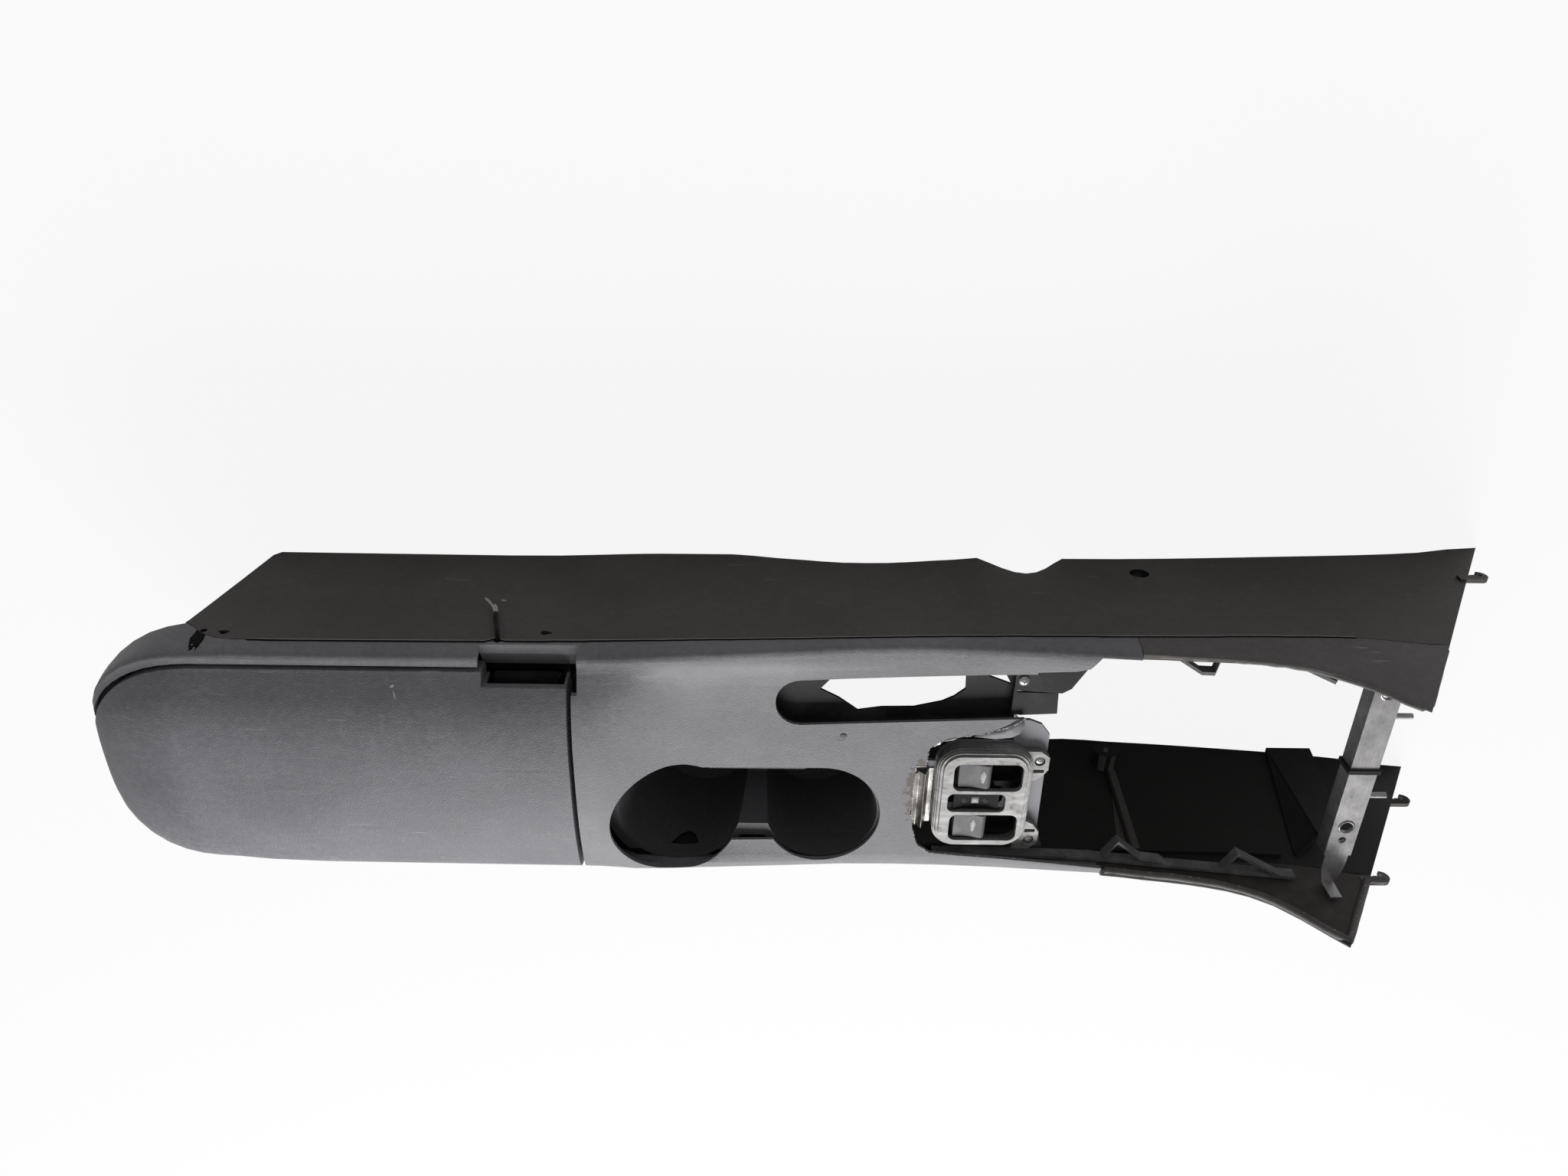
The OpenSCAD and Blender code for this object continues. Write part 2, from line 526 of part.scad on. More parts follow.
// Lid furniture
inner_z = parting_z + 1;
ear_t = 2;
latch_y = lid_edge_y - notch_depth - 14.5;
latch_z = parting_z + 10.2;
paddle_x0 = x_lid - notch_len + 6;
module lid_inner_panel() color(plastic_black) {
    difference() {
        intersection() {
            inner_form(wall + 0.4);
            translate([0, 0, inner_z]) linear_extrude(2.5) lid_plan(-wall - clear);
            translate([-600, hinge_y + 6, 0]) cube([1200, 400, 300]);
        }
        translate([paddle_x0 - 1, latch_y - 10, 0]) cube([paddle_w + 2, 60, 200]);
    }
    for (x = [paddle_x0 - ear_t - 0.4, paddle_x0 + paddle_w + 0.4]) difference() {
        translate([x, latch_y - 4, inner_z + 1]) cube([ear_t, 8, latch_z - inner_z + 2.5]);
        translate([x - 1, latch_y, latch_z]) rotate([0, 90, 0]) cylinder(h = ear_t + 2, r = latch_pin_r);
    }
    for (x = [x_rear + 90 : 60 : x_lid - 70]) translate([x, -40, inner_z + 2]) cube([2, 80, 6]);
}
module latch_pin() color(steel_grey) translate([paddle_x0 - ear_t - 0.8, latch_y, latch_z])
    rotate([0, 90, 0]) cylinder(h = paddle_w + 2 * ear_t + 1.6, r = latch_pin_r);
hook_w = 18;
barb = 5;
hook_x = paddle_x0 + (paddle_w - hook_w) / 2;
module latch_lever() color(plastic_black) difference() {
    union() {
        translate([paddle_x0, latch_y, latch_z]) rotate([0, 90, 0]) cylinder(h = paddle_w, r = 3);
        translate([paddle_x0, latch_y, latch_z - 1.6]) cube([paddle_w, 17, 2.4]);
        translate([paddle_x0, latch_y + 15.5, latch_z - 3.4]) cube([paddle_w, 1.5, 4.2]);
        translate([hook_x, latch_y - 1.2, latch_z - hook_drop]) cube([hook_w, 2.8, hook_drop]);
        translate([hook_x, latch_y - barb, latch_z - hook_drop]) cube([hook_w, barb, 3]);
    }
    translate([paddle_x0 - 1, latch_y, latch_z]) rotate([0, 90, 0])
        cylinder(h = paddle_w + 2, r = latch_pin_r + 0.06);
}
// Striker: a bent wire staple that stands on the bin flange
flange_z = 108;
flange_t = 2.5;
striker_r = 1.3;
striker_y = latch_y - barb + 1;
striker_z = latch_z - hook_drop + 3 + striker_r + 0.5;
module latch_striker() color(steel_grey) {
    translate([hook_x - 5, striker_y, striker_z]) rotate([0, 90, 0]) cylinder(h = hook_w + 10, r = striker_r);
    for (x = [hook_x - 5, hook_x + hook_w + 5]) translate([x, striker_y, bin_low_flange_z + flange_t])
        cylinder(h = striker_z - bin_low_flange_z - flange_t, r = striker_r);
    for (x = [hook_x - 5, hook_x + hook_w + 5]) translate([x, striker_y, striker_z]) sphere(striker_r);
    translate([hook_x - 9, striker_y - 4, bin_low_flange_z + flange_t + 0.04]) cube([hook_w + 18, 8, 1.2]);
}

knuckle_l = hinge_len / knuckles;
module hinge_knuckles(first, bore) for (k = [first : 2 : knuckles - 1])
    translate([hinge_x0 + k * knuckle_l + 0.25, hinge_y, hinge_z]) rotate([0, 90, 0]) difference() {
        cylinder(h = knuckle_l - 0.5, r = knuckle_r);
        translate([0, 0, -1]) cylinder(h = knuckle_l + 2, r = bore);
    }
leaf_y = hinge_y + knuckle_r - 0.5;
lid_leaf_y = wall + 4 * clear - seam_hw_rear + 0.3;
module leaf(first, y, z) for (k = [first : 2 : knuckles - 1])
    translate([hinge_x0 + k * knuckle_l + 0.25, y, z]) cube([knuckle_l - 0.5, leaf_t, 6]);
module pin_clear(r) translate([hinge_x0 - 2, hinge_y, hinge_z]) rotate([0, 90, 0]) cylinder(h = hinge_len + 4, r = r);
module lid_hinge_leaf() color(steel_grey) {
    hinge_knuckles(1, hinge_pin_r + 0.06);
    difference() {
        union() {
            leaf(1, lid_leaf_y, hinge_z);
            translate([hinge_x0 + 18, lid_leaf_y, hinge_z + 5]) cube([hinge_len - 20, leaf_t, 3.5]);
        }
        pin_clear(hinge_pin_r + 0.06);
    }
}
module fixed_hinge_leaf() color(steel_grey) {
    hinge_knuckles(0, hinge_pin_r);
    difference() {
        union() {
            leaf(0, leaf_y, hinge_z - 6);
            translate([hinge_x0 + 2, leaf_y, hinge_z - 14]) cube([hinge_len - 4, leaf_t, 9]);
        }
        pin_clear(hinge_pin_r);
    }
}
module hinge_pin() color(steel_grey) translate([hinge_x0 + 0.5, hinge_y, hinge_z]) rotate([0, 90, 0])
    cylinder(h = hinge_len - 1, r = hinge_pin_r);

// Storage bin with a wide flange and a low corner under the latch
bin_floor_z = 28;
bin_low_flange_z = 96;
bin_x0 = x_back + rear_run + wall + 2;
bin_x1 = x_lid - 12;
latch_x = x_lid - notch_len - 8;
shelf_w = 32;
bin_right = -72;
bin_left = 56;
module bin_plan(g) polygon([[bin_x0 + 14 + g, bin_right + g], [bin_x1 - g, bin_right + g],
    [bin_x1 - g, latch_y - 20 - g], [latch_x - g, latch_y - 20 - g], [latch_x - g, bin_left - g],
    [bin_x0 + 14 + g, bin_left - g], [bin_x0 + g, bin_left - 14 - g], [bin_x0 + g, bin_right + 14 + g]]);
module storage_bin() color(plastic_black) difference() {
    union() {
        translate([0, 0, bin_floor_z]) linear_extrude(flange_z - bin_floor_z + flange_t) bin_plan(-wall);
        translate([0, 0, flange_z]) linear_extrude(flange_t)
            polygon([[bin_x0 - 4, leaf_y + leaf_t + clear], [bin_x1 + 6, leaf_y + leaf_t + clear],
                [bin_x1 + 6, seam_hw_rear - wall - clear - 1.2], [bin_x0 - 4, seam_hw_rear - wall - clear - 2.4]]);
        translate([latch_x, latch_y - 20, bin_low_flange_z])
            cube([x_lid - 6 - latch_x, shelf_w, flange_z - bin_low_flange_z + eps]);
    }
    translate([0, 0, bin_floor_z + wall]) linear_extrude(200) bin_plan(0);
    translate([latch_x + wall, latch_y - 20 + wall, bin_low_flange_z + flange_t])
        cube([x_lid - 6 - latch_x - 2 * wall, shelf_w - 2 * wall, 60]);
}
buffer_h = inner_z - clear - flange_z - flange_t;
module lid_buffers() color(plastic_black) for (x = [x_back + 40, latch_x - 30])
    translate([x, (bin_left + seam_hw_rear - 16) / 2, flange_z + flange_t]) cylinder(h = buffer_h, r1 = 5, r2 = 3.8);

// Cup insert: two tapering wells joined by a saddle, with a collar under the deck
cup_top_z = deck_z + 1;
x_floor2 = x_cup2 - 3;
x_floor1 = x_floor2 - cup_floor_pitch;
floor_z = deck_z - cup_depth;
module well(x_top, x_bottom, r_top, grow, z0, z1) hull() {
    translate([x_bottom, -cup_y, z0]) cylinder(h = 1, r = cup_floor_r + grow);
    translate([x_top, -cup_y, z1 - 1]) cylinder(h = 1, r = r_top + grow);
}
module cup_insert() color(plastic_dark) difference() {
    union() {
        intersection() {
            union() {
                well(x_cup1, x_floor1, cup1_r, cup_wall - 0.8, floor_z - cup_wall, cup_top_z);
                well(x_cup2, x_floor2, cup2_r, cup_wall - 0.8, floor_z - cup_wall, cup_top_z);
                hull() {
                    translate([x_cup1, -cup_y - 12, cup_top_z]) cube([cup_pitch, cup2_r + 13, 1]);
                    translate([x_floor1 + saddle_run, -cup_y, deck_z - saddle_depth - cup_wall])
                        cube([cup_floor_pitch - 2 * saddle_run, 12, 1]);
                }
            }
            intersection() {
                translate([-500, -200, 0]) cube([1000, 400, deck_z - wall - clear - 1]);
                union() {
                    inner_form(wall + clear + 0.4);
                    translate([-500, -seam_hw_mid + wall + 5, 0]) cube([1000, 200, seam_z_mid]);
                }
            }
        }
        translate([0, 0, deck_z - wall - 3.6]) linear_extrude(2) intersection() {
            cup_plan(5);
            translate([-500, -seam_hw_mid + wall + 9]) square([1000, 200]);
        }
    }
    well(x_cup1, x_floor1, cup1_r - 0.8, 0, floor_z, cup_top_z + 6);
    well(x_cup2, x_floor2, cup2_r - 0.8, 0, floor_z, cup_top_z + 6);
    hull() {
        translate([x_cup1, -cup_y - 12, cup_top_z]) cube([cup_pitch, cup2_r + 11.2, 6]);
        translate([x_floor1 + saddle_run, -cup_y, deck_z - saddle_depth]) cube([cup_floor_pitch - 2 * saddle_run, 10, 1]);
    }
}
saddle_run = 30;
saddle_depth = 46;

// Brake slot liner: a shallow tray under the slot with an open floor, and two plates ahead of it
liner_top = deck_z - wall - clear - 1.2;
liner_h = 8;
tray_len = 149;
module tray_plan(g) intersection() {
    slot_plan(g);
    translate([x_slot - 10, 0]) square([tray_len + 10 + g, 100]);
}
// Openings in the tray's floor, as offsets from the slot's rear end and the slot's middle line
floor_hole = [[28, 0.5], [40, 15], [119, 15.5], [119.7, 2], [113, -4], [105.5, -8], [88, -12.5],
    [67.5, -13], [52.5, -15.5], [40, -6]];
rear_hole = [[128, 14], [144, 13.5], [148, 6]];
module brake_slot_liner() color(plastic_dark) difference() {
    union() {
        translate([0, 0, liner_top - liner_h]) linear_extrude(liner_h) tray_plan(2);
        translate([0, 0, liner_top - 2]) linear_extrude(2) polygon([for (p = lower_plate) [x_slot + p[0], slot_y + p[1]]]);
        translate([0, 0, liner_top - 0.6]) linear_extrude(1.6) polygon([for (p = upper_plate) [x_slot + p[0], slot_y + p[1]]]);
    }
    translate([0, 0, liner_top - liner_h + 2]) linear_extrude(20) tray_plan(-0.2);
    translate([x_slot, slot_y, liner_top - 40]) linear_extrude(60) polygon(floor_hole);
    translate([x_slot, slot_y, liner_top - 40]) linear_extrude(60) polygon(rear_hole);
    translate([screw_x, screw_y, liner_top - 20]) cylinder(h = 40, r = 1.7);
}
lower_plate = [[146, 4], [177, 3.5], [178, -12], [155, -13.4], [146, -12]];
upper_plate = [[82, 18], [128, 18.4], [151, 6], [179, 4], [184.5, 7.5], [193, 22.5], [160, 22], [82, 19.5]];
screw_x = x_slot + slot_len - 9;
screw_y = slot_y + 13.4;
module pan_screw(r, l) {
    translate([0, 0, -l]) cylinder(h = l, r = r);
    difference() {
        intersection() {
            cylinder(h = 2.2, r = r * 2.1);
            translate([0, 0, -r * 1.6]) sphere(r * 2.9);
        }
        for (a = [0, 90]) rotate([0, 0, a]) translate([-r, -0.35, 0.9]) cube([2 * r, 0.7, 3]);
    }
}
module liner_screw() color(steel_grey) translate([screw_x, screw_y, liner_top + 1.05]) pan_screw(1.6, 9);

// Window switch cluster
bezel_top = deck_z - 2;
bezel_y = -32;
bezel_x = x_switch + 0.5;
bezel_r = 16;
pocket_l = 45;
pocket_play = 2.4;
lock_len = 30;
lock_w = 13.2;
function pocket_y(k) = bezel_y - 1.5 + k * (rocker_w + 1.7);
function pocket_x(k) = k == 0 ? bezel_x - 4 : bezel_x + 2;
module round_rect(l, w, r) for (sx = [-1, 1]) for (sy = [-1, 1]) {
    translate([sx * (l / 2 - r), sy * (w / 2 - r)]) circle(r);
    square([l, w - 2 * r], center = true);
    square([l - 2 * r, w], center = true);
}
module bezel_plan(g) translate([bezel_x, bezel_y]) round_rect(bezel_len + 2 * g, bezel_w + 2 * g, bezel_r + g);
// Screw ears on the front side of the bezel, mirrored to each other
ear_t_z = 4.5;
ear_plan = [[-11, 8], [0, 8], [6.3, 3], [6.3, -7], [1.7, -13.5], [-5, -17], [-11, -17]];
module at_ear(s, z) translate([bezel_x + bezel_len / 2 + 4.3, bezel_y - 4.7 + s * (bezel_w / 2 - 7), z]) children();
module ear(s) at_ear(s, bezel_top - bezel_h) difference() {
    linear_extrude(ear_t_z) polygon([for (p = ear_plan) [p[0], s * p[1]]]);
    translate([0, 0, -5]) cylinder(h = 20, r = 1.7);
    translate([0, 0, 2.5]) cylinder(h = 20, r = 3.5);
    translate([-3.4, -s * 8 - 1.2, -5]) cube([6.8, 2.4, 20]);
}
module switch_bezel() color(steel_grey) difference() {
    union() {
        translate([0, 0, bezel_top - bezel_h]) linear_extrude(bezel_h - 4) bezel_plan(0);
        translate([0, 0, bezel_top - 4]) linear_extrude(1.5) bezel_plan(-0.8);
        translate([0, 0, bezel_top - 2.5]) linear_extrude(1.3) bezel_plan(-2);
        translate([0, 0, bezel_top - 1.2]) linear_extrude(1.2) bezel_plan(-4);
        ear(1);
        ear(-1);
    }
    translate([0, 0, bezel_top - bezel_h - 1]) linear_extrude(bezel_h - 2.5 + 1 - 1) bezel_plan(-3.2);
    for (k = [-1, 1]) translate([pocket_x(k), pocket_y(k), bezel_top - 20]) linear_extrude(40)
        round_rect(pocket_l, rocker_w + pocket_play, 5);
    translate([pocket_x(0), pocket_y(0), bezel_top - 20]) linear_extrude(40) round_rect(lock_len + 8, lock_w + 1.4, 4);
}
module switch_screws() color(steel_grey) for (s = [1, -1])
    at_ear(s, bezel_top - bezel_h + 2.55) pan_screw(1.5, 9);

// Switch body below the bezel, with a tub for each rocker and a plug socket underneath
tub_floor = bezel_top - bezel_h - 3;
module switch_body() color(plastic_black) difference() {
    union() {
        translate([bezel_x, bezel_y, bezel_top - 26]) linear_extrude(16.2) round_rect(bezel_len - 8, bezel_w - 8, bezel_r - 3.5);
        translate([bezel_x - 20, bezel_y - 12, bezel_top - 36]) cube([32, 24, 10 + eps]);
        for (k = [-1, 0, 1]) translate([rocker_x(k), pocket_y(k), tub_floor]) for (s = [-1, 1])
            translate([-4, s * (rocker_w_of(k) / 2 + 0.9) - 0.7, -1]) cube([8, 1.4, rocker_axis - tub_floor + 3.5]);
    }
    for (k = [-1, 1]) translate([pocket_x(k), pocket_y(k), tub_floor - 4]) linear_extrude(40)
        round_rect(pocket_l, rocker_w_of(k) + 0.8, 4);
    translate([pocket_x(0), pocket_y(0), tub_floor - 4]) linear_extrude(40) round_rect(lock_len + 8, lock_w + 0.8, 3);
    translate([bezel_x - 18, bezel_y - 10, bezel_top - 37]) cube([28, 20, 9]);
    for (k = [-1, 0, 1]) translate([rocker_x(k), pocket_y(k), rocker_axis]) rotate([90, 0, 0])
        cylinder(h = rocker_w_of(k) + 4, r = 1.26, center = true);
}
rocker_axis = tub_floor + 4;
function rocker_x(k) = k == 0 ? pocket_x(0) : pocket_x(k) - pocket_l / 2 + rocker_len / 2 + 1.4;
function rocker_w_of(k) = k == 0 ? lock_w : rocker_w - 0.6;
module rocker_shaft(k) translate([rocker_x(k), pocket_y(k), rocker_axis]) rotate([90, 0, 0])
    cylinder(h = rocker_w_of(k) + 2.6, r = 1.2, center = true);
module window_rocker(k) {
    w = rocker_w_of(k);
    rocker_shaft(k);
    translate([rocker_x(k), pocket_y(k) + w / 2, 0]) rotate([90, 0, 0]) linear_extrude(w)
        polygon(concat([[-rocker_len / 2 + 1, rocker_axis - 1.5], [-3, rocker_axis - 3], [3, rocker_axis - 3],
            [rocker_len / 2 - 1, rocker_axis - 1]],
            [for (a = [0 : 15 : 90]) [rocker_len / 2 - 4 + 3.4 * cos(a), bezel_top - 3.6 + 3.4 * sin(a)]],
            [for (s = [0.2 : 0.2 : 1]) [(rocker_len / 2 - 4) * (1 - 2 * s) - 2 * s * s, bezel_top - 0.2 - 3.4 * s * (1.6 - s)]]));
}
module left_window_rocker() color(plastic_grey) window_rocker(1);
module right_window_rocker() color(plastic_grey) window_rocker(-1);
module window_lock_rocker() color(plastic_black) {
    w = rocker_w_of(0);
    l = lock_len / 2;
    rocker_shaft(0);
    translate([rocker_x(0), pocket_y(0) + w / 2, 0]) rotate([90, 0, 0]) linear_extrude(w)
        polygon([[-l + 2, rocker_axis], [-3, rocker_axis - 2.4], [3, rocker_axis - 2.4], [l - 2, rocker_axis],
            [l, bezel_top - 1.6], [l * 0.5, bezel_top - 3], [0, bezel_top - 3.5], [-l * 0.5, bezel_top - 3], [-l, bezel_top - 1.6]]);
}

// Carrier: the pale plate behind the switch, hung from the deck
carrier_t = 2.4;
carrier_z = bezel_top - bezel_h - 3.5;
carrier_hang_x = x_switch - 52;
hang_w = 12;
deck_under = deck_z - wall - 0.6;
carrier_plan = [[18, 40], [18, 56], [-3, 60], [-3, 66], [13, 66], [20, 57.5], [27, 57.3], [35, 54], [41, 46],
    [42, -46], [11, -44], [11, 20]];
module switch_carrier() color([0.58, 0.58, 0.60]) {
    difference() {
        translate([bezel_x, bezel_y, carrier_z]) linear_extrude(carrier_t) union() {
            round_rect(bezel_len, bezel_w, bezel_r);
            polygon(carrier_plan);
        }
        translate([bezel_x, bezel_y, carrier_z - 5]) linear_extrude(20) round_rect(bezel_len - 7, bezel_w - 7, 9.5);
        for (s = [1, -1]) at_ear(s, carrier_z - 5) cylinder(h = 20, r = 1.6);
    }
    for (y = [-20, 12]) translate([carrier_hang_x, bezel_y + y, carrier_z]) {
        cube([bezel_x - bezel_len / 2 + 3 - carrier_hang_x, hang_w, carrier_t]);
        cube([carrier_t, hang_w, deck_under - carrier_z]);
    }
    translate([bezel_x - 2, bezel_y + 61, carrier_z]) cube([hang_w, carrier_t, deck_under - carrier_z]);
    for (s = [1, -1]) at_ear(s, carrier_z + carrier_t - 0.1) difference() {
        cylinder(h = 1.1, r = 4);
        translate([0, 0, -2]) cylinder(h = 6, r = 1.6);
    }
}
// Retaining clip: folded sheet metal that stands on the carrier's arms
clip_w = 45;
module retaining_clip() color(steel_grey)
    translate([bezel_x - bezel_len / 2 - 7.5, bezel_y - 4, carrier_z + carrier_t])
        rotate([90, 0, 0]) linear_extrude(clip_w, center = true)
            polygon([[-7, 7], [-7, 6.2], [-3.4, 3], [0, 6.6], [3, 0], [6.9, 0], [6.9, 0.8], [3.6, 0.8],
                [0.4, 8], [-3.2, 4.4], [-6.4, 7.4]]);

// Front bracket: pressed steel angle across the console, with a tapering right foot
bracket_x = x_front - 117;
bar_right = -62;
bolt_ys = [67, -38];
lap = 19;
foot_end = -(tip_hw - wall - 2.5);
module bracket_profile(w) polygon([[-w / 2, -bracket_flange], [-w / 2 + bracket_t, -bracket_flange],
    [-w / 2 + bracket_t, -bracket_t], [w / 2, -bracket_t], [w / 2, 0], [-w / 2, 0]]);
module front_bracket() color(steel_grey) difference() {
    union() {
        translate([bracket_x, tip_hw - wall - 1.2, bracket_z]) rotate([90, 0, 0])
            linear_extrude(tip_hw - wall - 1.2 - bar_right) bracket_profile(bracket_w);
        translate([bracket_x - bracket_w / 2, tip_hw - wall - 2.8, bracket_z - 16]) cube([bracket_w, 1.6, 16]);
    }
    for (y = bolt_ys) translate([bracket_x, y, bracket_z - 20]) cylinder(h = 40, r = bracket_hole_r);
    translate([bracket_x, bar_right + lap - 6, bracket_z - 20]) cylinder(h = 40, r = 2.5);
}
// Plate lapped on the bracket's right end, drawn in to a narrow foot on the side wall
module bracket_plate() color(steel_grey) difference() {
    union() {
        translate([bracket_x, 0, bracket_z - bracket_t - 1.4]) linear_extrude(1.4) polygon(concat(
            [[-bracket_w / 2 + 2, bar_right + lap], [bracket_w / 2 - 0.6, bar_right + lap], [bracket_w / 2 - 0.6, bar_right - 6]],
            [for (s = [0.2 : 0.2 : 1]) [(bracket_w / 2 - 0.6) * (1 - 0.6 * s * s), bar_right - 6 + (foot_end - bar_right + 6) * s]],
            [for (s = [1 : -0.2 : 0]) [-(bracket_w / 2 - 2) * (1 - 0.5 * s * s), bar_right - 6 + (foot_end - bar_right + 6) * s]]));
        translate([bracket_x - 4, foot_end, bracket_z - bracket_t - 1.4]) cube([8, 1.4, 16]);
    }
    translate([bracket_x, bar_right + lap - 6, bracket_z - 20]) cylinder(h = 40, r = 2.5);
}
pin_r = 1.9;
pin_len = 12;
module bracket_pins() color(steel_grey) for (y = [48, -14])
    translate([bracket_x + bracket_w / 2 - 7, y, bracket_z - bracket_t - pin_r - 0.05]) rotate([0, 90, 0])
        cylinder(h = pin_len + 7, r = pin_r);
module bracket_tie() color(plastic_black) translate([bracket_x, 9, bracket_z]) rotate([90, 0, 0]) linear_extrude(3.4) difference() {
    polygon([[-bracket_w / 2 - 1.4, -bracket_flange - 1.4], [-bracket_w / 2 + bracket_t + 0.5, -bracket_flange - 1.4],
        [bracket_w / 2 + 1.4, -4], [bracket_w / 2 + 1.4, 1.4], [-bracket_w / 2 - 1.4, 1.4]]);
    polygon([[-bracket_w / 2 - 0.2, -bracket_flange - 0.2], [-bracket_w / 2 + bracket_t + 0.1, -bracket_flange - 0.2],
        [bracket_w / 2 + 0.2, -3.2], [bracket_w / 2 + 0.2, 0.2], [-bracket_w / 2 - 0.2, 0.2]]);
}

// Gusset: a flat brace inside the right wall, standing off on a slanting rear flange
gusset_x = x_front - 110;
gusset_y = 15 - tip_hw;
gusset_t = 2;
gusset_top = 100;
gusset_plan = [[0, 0], [34, 0], [30, 30], [24, 62], [3, gusset_top], [0, gusset_top]];
flange_run = 17;
flange_top = seam_z_mid - 5;
module gusset_panel() color(plastic_black) {
    translate([0, gusset_y, 0]) rotate([90, 0, 0]) linear_extrude(gusset_t)
        polygon([for (p = gusset_plan) [gusset_x + p[0], p[1]]]);
    hull() {
        translate([gusset_x, gusset_y - gusset_t, 0]) cube([gusset_t, 1, gusset_top]);
        translate([gusset_x, wall + clear - side_hw(gusset_x, 0, true) + 0.2, 0]) cube([gusset_t, 0.4, 1]);
        translate([gusset_x - flange_run, wall + clear - side_hw(gusset_x - flange_run, flange_top, true) + 0.5, flange_top - 6])
            cube([gusset_t, 0.4, 6]);
    }
}

// Lamp lead: out of the seam, over the edge and down the left wall
lead_route = [[lead_x, 77, 119], [lead_x, 82, 121], [lead_x, 87.5, 121.8], [lead_x - 1, 90, 118],
    [lead_x - 3, 88.9, 110], [lead_x - 5.5, 88.4, 101], [lead_x - 7, 88.2, 92.5], [lead_x - 10, 88.1, 84],
    [lead_x - 16, 88, 75]];
function ring(p, d, r, n) = let (t = unit3(d), a = unit3(cross(t, [1, 0.02, 0])), b = cross(t, a))
    [for (k = [0 : n - 1]) p + r * (a * cos(360 * k / n) + b * sin(360 * k / n))];
function unit3(v) = v / norm(v);
function bez(p, i, s) = let (a = p[max(i - 1, 0)], b = p[i], c = p[i + 1], d = p[min(i + 2, len(p) - 1)])
    0.5 * (2 * b + (c - a) * s + (2 * a - 5 * b + 4 * c - d) * s * s + (3 * b - a - 3 * c + d) * s * s * s);
function path(p, m) = concat([for (i = [0 : len(p) - 2]) for (k = [0 : m - 1]) bez(p, i, k / m)], [p[len(p) - 1]]);
module tube(p, r, n) {
    m = len(p);
    pts = [for (i = [0 : m - 1]) each ring(p[i], p[min(i + 1, m - 1)] - p[max(i - 1, 0)], r, n)];
    polyhedron(points = pts, faces = concat([[for (j = [n - 1 : -1 : 0]) j]], [[for (j = [0 : n - 1]) (m - 1) * n + j]],
        [for (i = [0 : m - 2]) for (j = [0 : n - 1]) [i * n + j, i * n + (j + 1) % n, (i + 1) * n + (j + 1) % n]],
        [for (i = [0 : m - 2]) for (j = [0 : n - 1]) [i * n + j, (i + 1) * n + (j + 1) % n, (i + 1) * n + j]]));
}
module lamp_lead() color(plastic_black) tube(path(lead_route, 2), lead_d / 2, 8);

upper_trim();
left_side_panel();
right_side_panel();
rear_panel();
front_trim_left();
front_trim_right();
left_clip_rail();
right_clip_rail();
armrest_lid();
lid_inner_panel();
lid_hinge_leaf();
fixed_hinge_leaf();
hinge_pin();
storage_bin();
lid_buffers();
latch_striker();
latch_lever();
latch_pin();
cup_insert();
brake_slot_liner();
liner_screw();
switch_bezel();
switch_body();
switch_carrier();
switch_screws();
retaining_clip();
left_window_rocker();
right_window_rocker();
window_lock_rocker();
front_bracket();
bracket_plate();
bracket_pins();
bracket_tie();
gusset_panel();
lamp_lead();
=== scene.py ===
"""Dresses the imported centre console: finishes for its mouldings and metal, rounded and worn
edges, torn plastic round the switch, the lamp lead, and a plain pale studio."""

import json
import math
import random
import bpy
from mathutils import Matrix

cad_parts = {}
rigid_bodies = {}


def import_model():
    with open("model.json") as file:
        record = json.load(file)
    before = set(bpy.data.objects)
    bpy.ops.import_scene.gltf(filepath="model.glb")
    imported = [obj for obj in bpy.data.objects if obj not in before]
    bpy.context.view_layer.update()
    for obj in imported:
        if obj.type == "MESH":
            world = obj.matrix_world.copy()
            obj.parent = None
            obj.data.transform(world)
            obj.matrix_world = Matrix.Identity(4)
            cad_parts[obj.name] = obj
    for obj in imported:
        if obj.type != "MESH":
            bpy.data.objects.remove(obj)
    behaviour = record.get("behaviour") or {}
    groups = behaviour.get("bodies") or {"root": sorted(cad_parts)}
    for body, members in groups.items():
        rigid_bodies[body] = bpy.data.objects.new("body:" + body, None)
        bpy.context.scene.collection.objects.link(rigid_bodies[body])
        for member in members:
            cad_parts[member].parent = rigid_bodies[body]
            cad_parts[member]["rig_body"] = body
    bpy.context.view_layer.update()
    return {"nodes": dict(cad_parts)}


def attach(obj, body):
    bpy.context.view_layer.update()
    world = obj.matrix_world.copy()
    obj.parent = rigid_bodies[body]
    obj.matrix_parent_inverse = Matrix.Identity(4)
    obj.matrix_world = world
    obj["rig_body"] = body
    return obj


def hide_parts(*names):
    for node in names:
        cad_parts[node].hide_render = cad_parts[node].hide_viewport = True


bl_info = {
    "name": "Car Centre Console",
    "version": (1, 0, 0),
    "blender": (4, 5, 0),
    "location": "View3D > Sidebar > Console",
    "description": "Builds the finished look of a salvaged car centre console over its packed model",
    "category": "Add Mesh",
}

import bmesh
import bpy
from bpy.props import FloatProperty, FloatVectorProperty, PointerProperty
from mathutils import Matrix, Vector
from mathutils.bvhtree import BVHTree

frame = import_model()
NODES = frame["nodes"]
MM = 0.001
# The lead's route in millimetres, as in the part's source
LEAD_X = -198.5
LEAD_ROUTE = [
    (LEAD_X, 77, 119), (LEAD_X, 82, 121), (LEAD_X, 87.5, 121.8), (LEAD_X - 1, 90, 118),
    (LEAD_X - 3, 88.9, 110), (LEAD_X - 5.5, 88.4, 101), (LEAD_X - 7, 88.2, 92.5),
    (LEAD_X - 10, 88.1, 84), (LEAD_X - 16, 88, 75),
]
# The jacket ends at this height, once the lead is past this side: both in millimetres
JACKET_END = 92
PAST_SIDE = 87
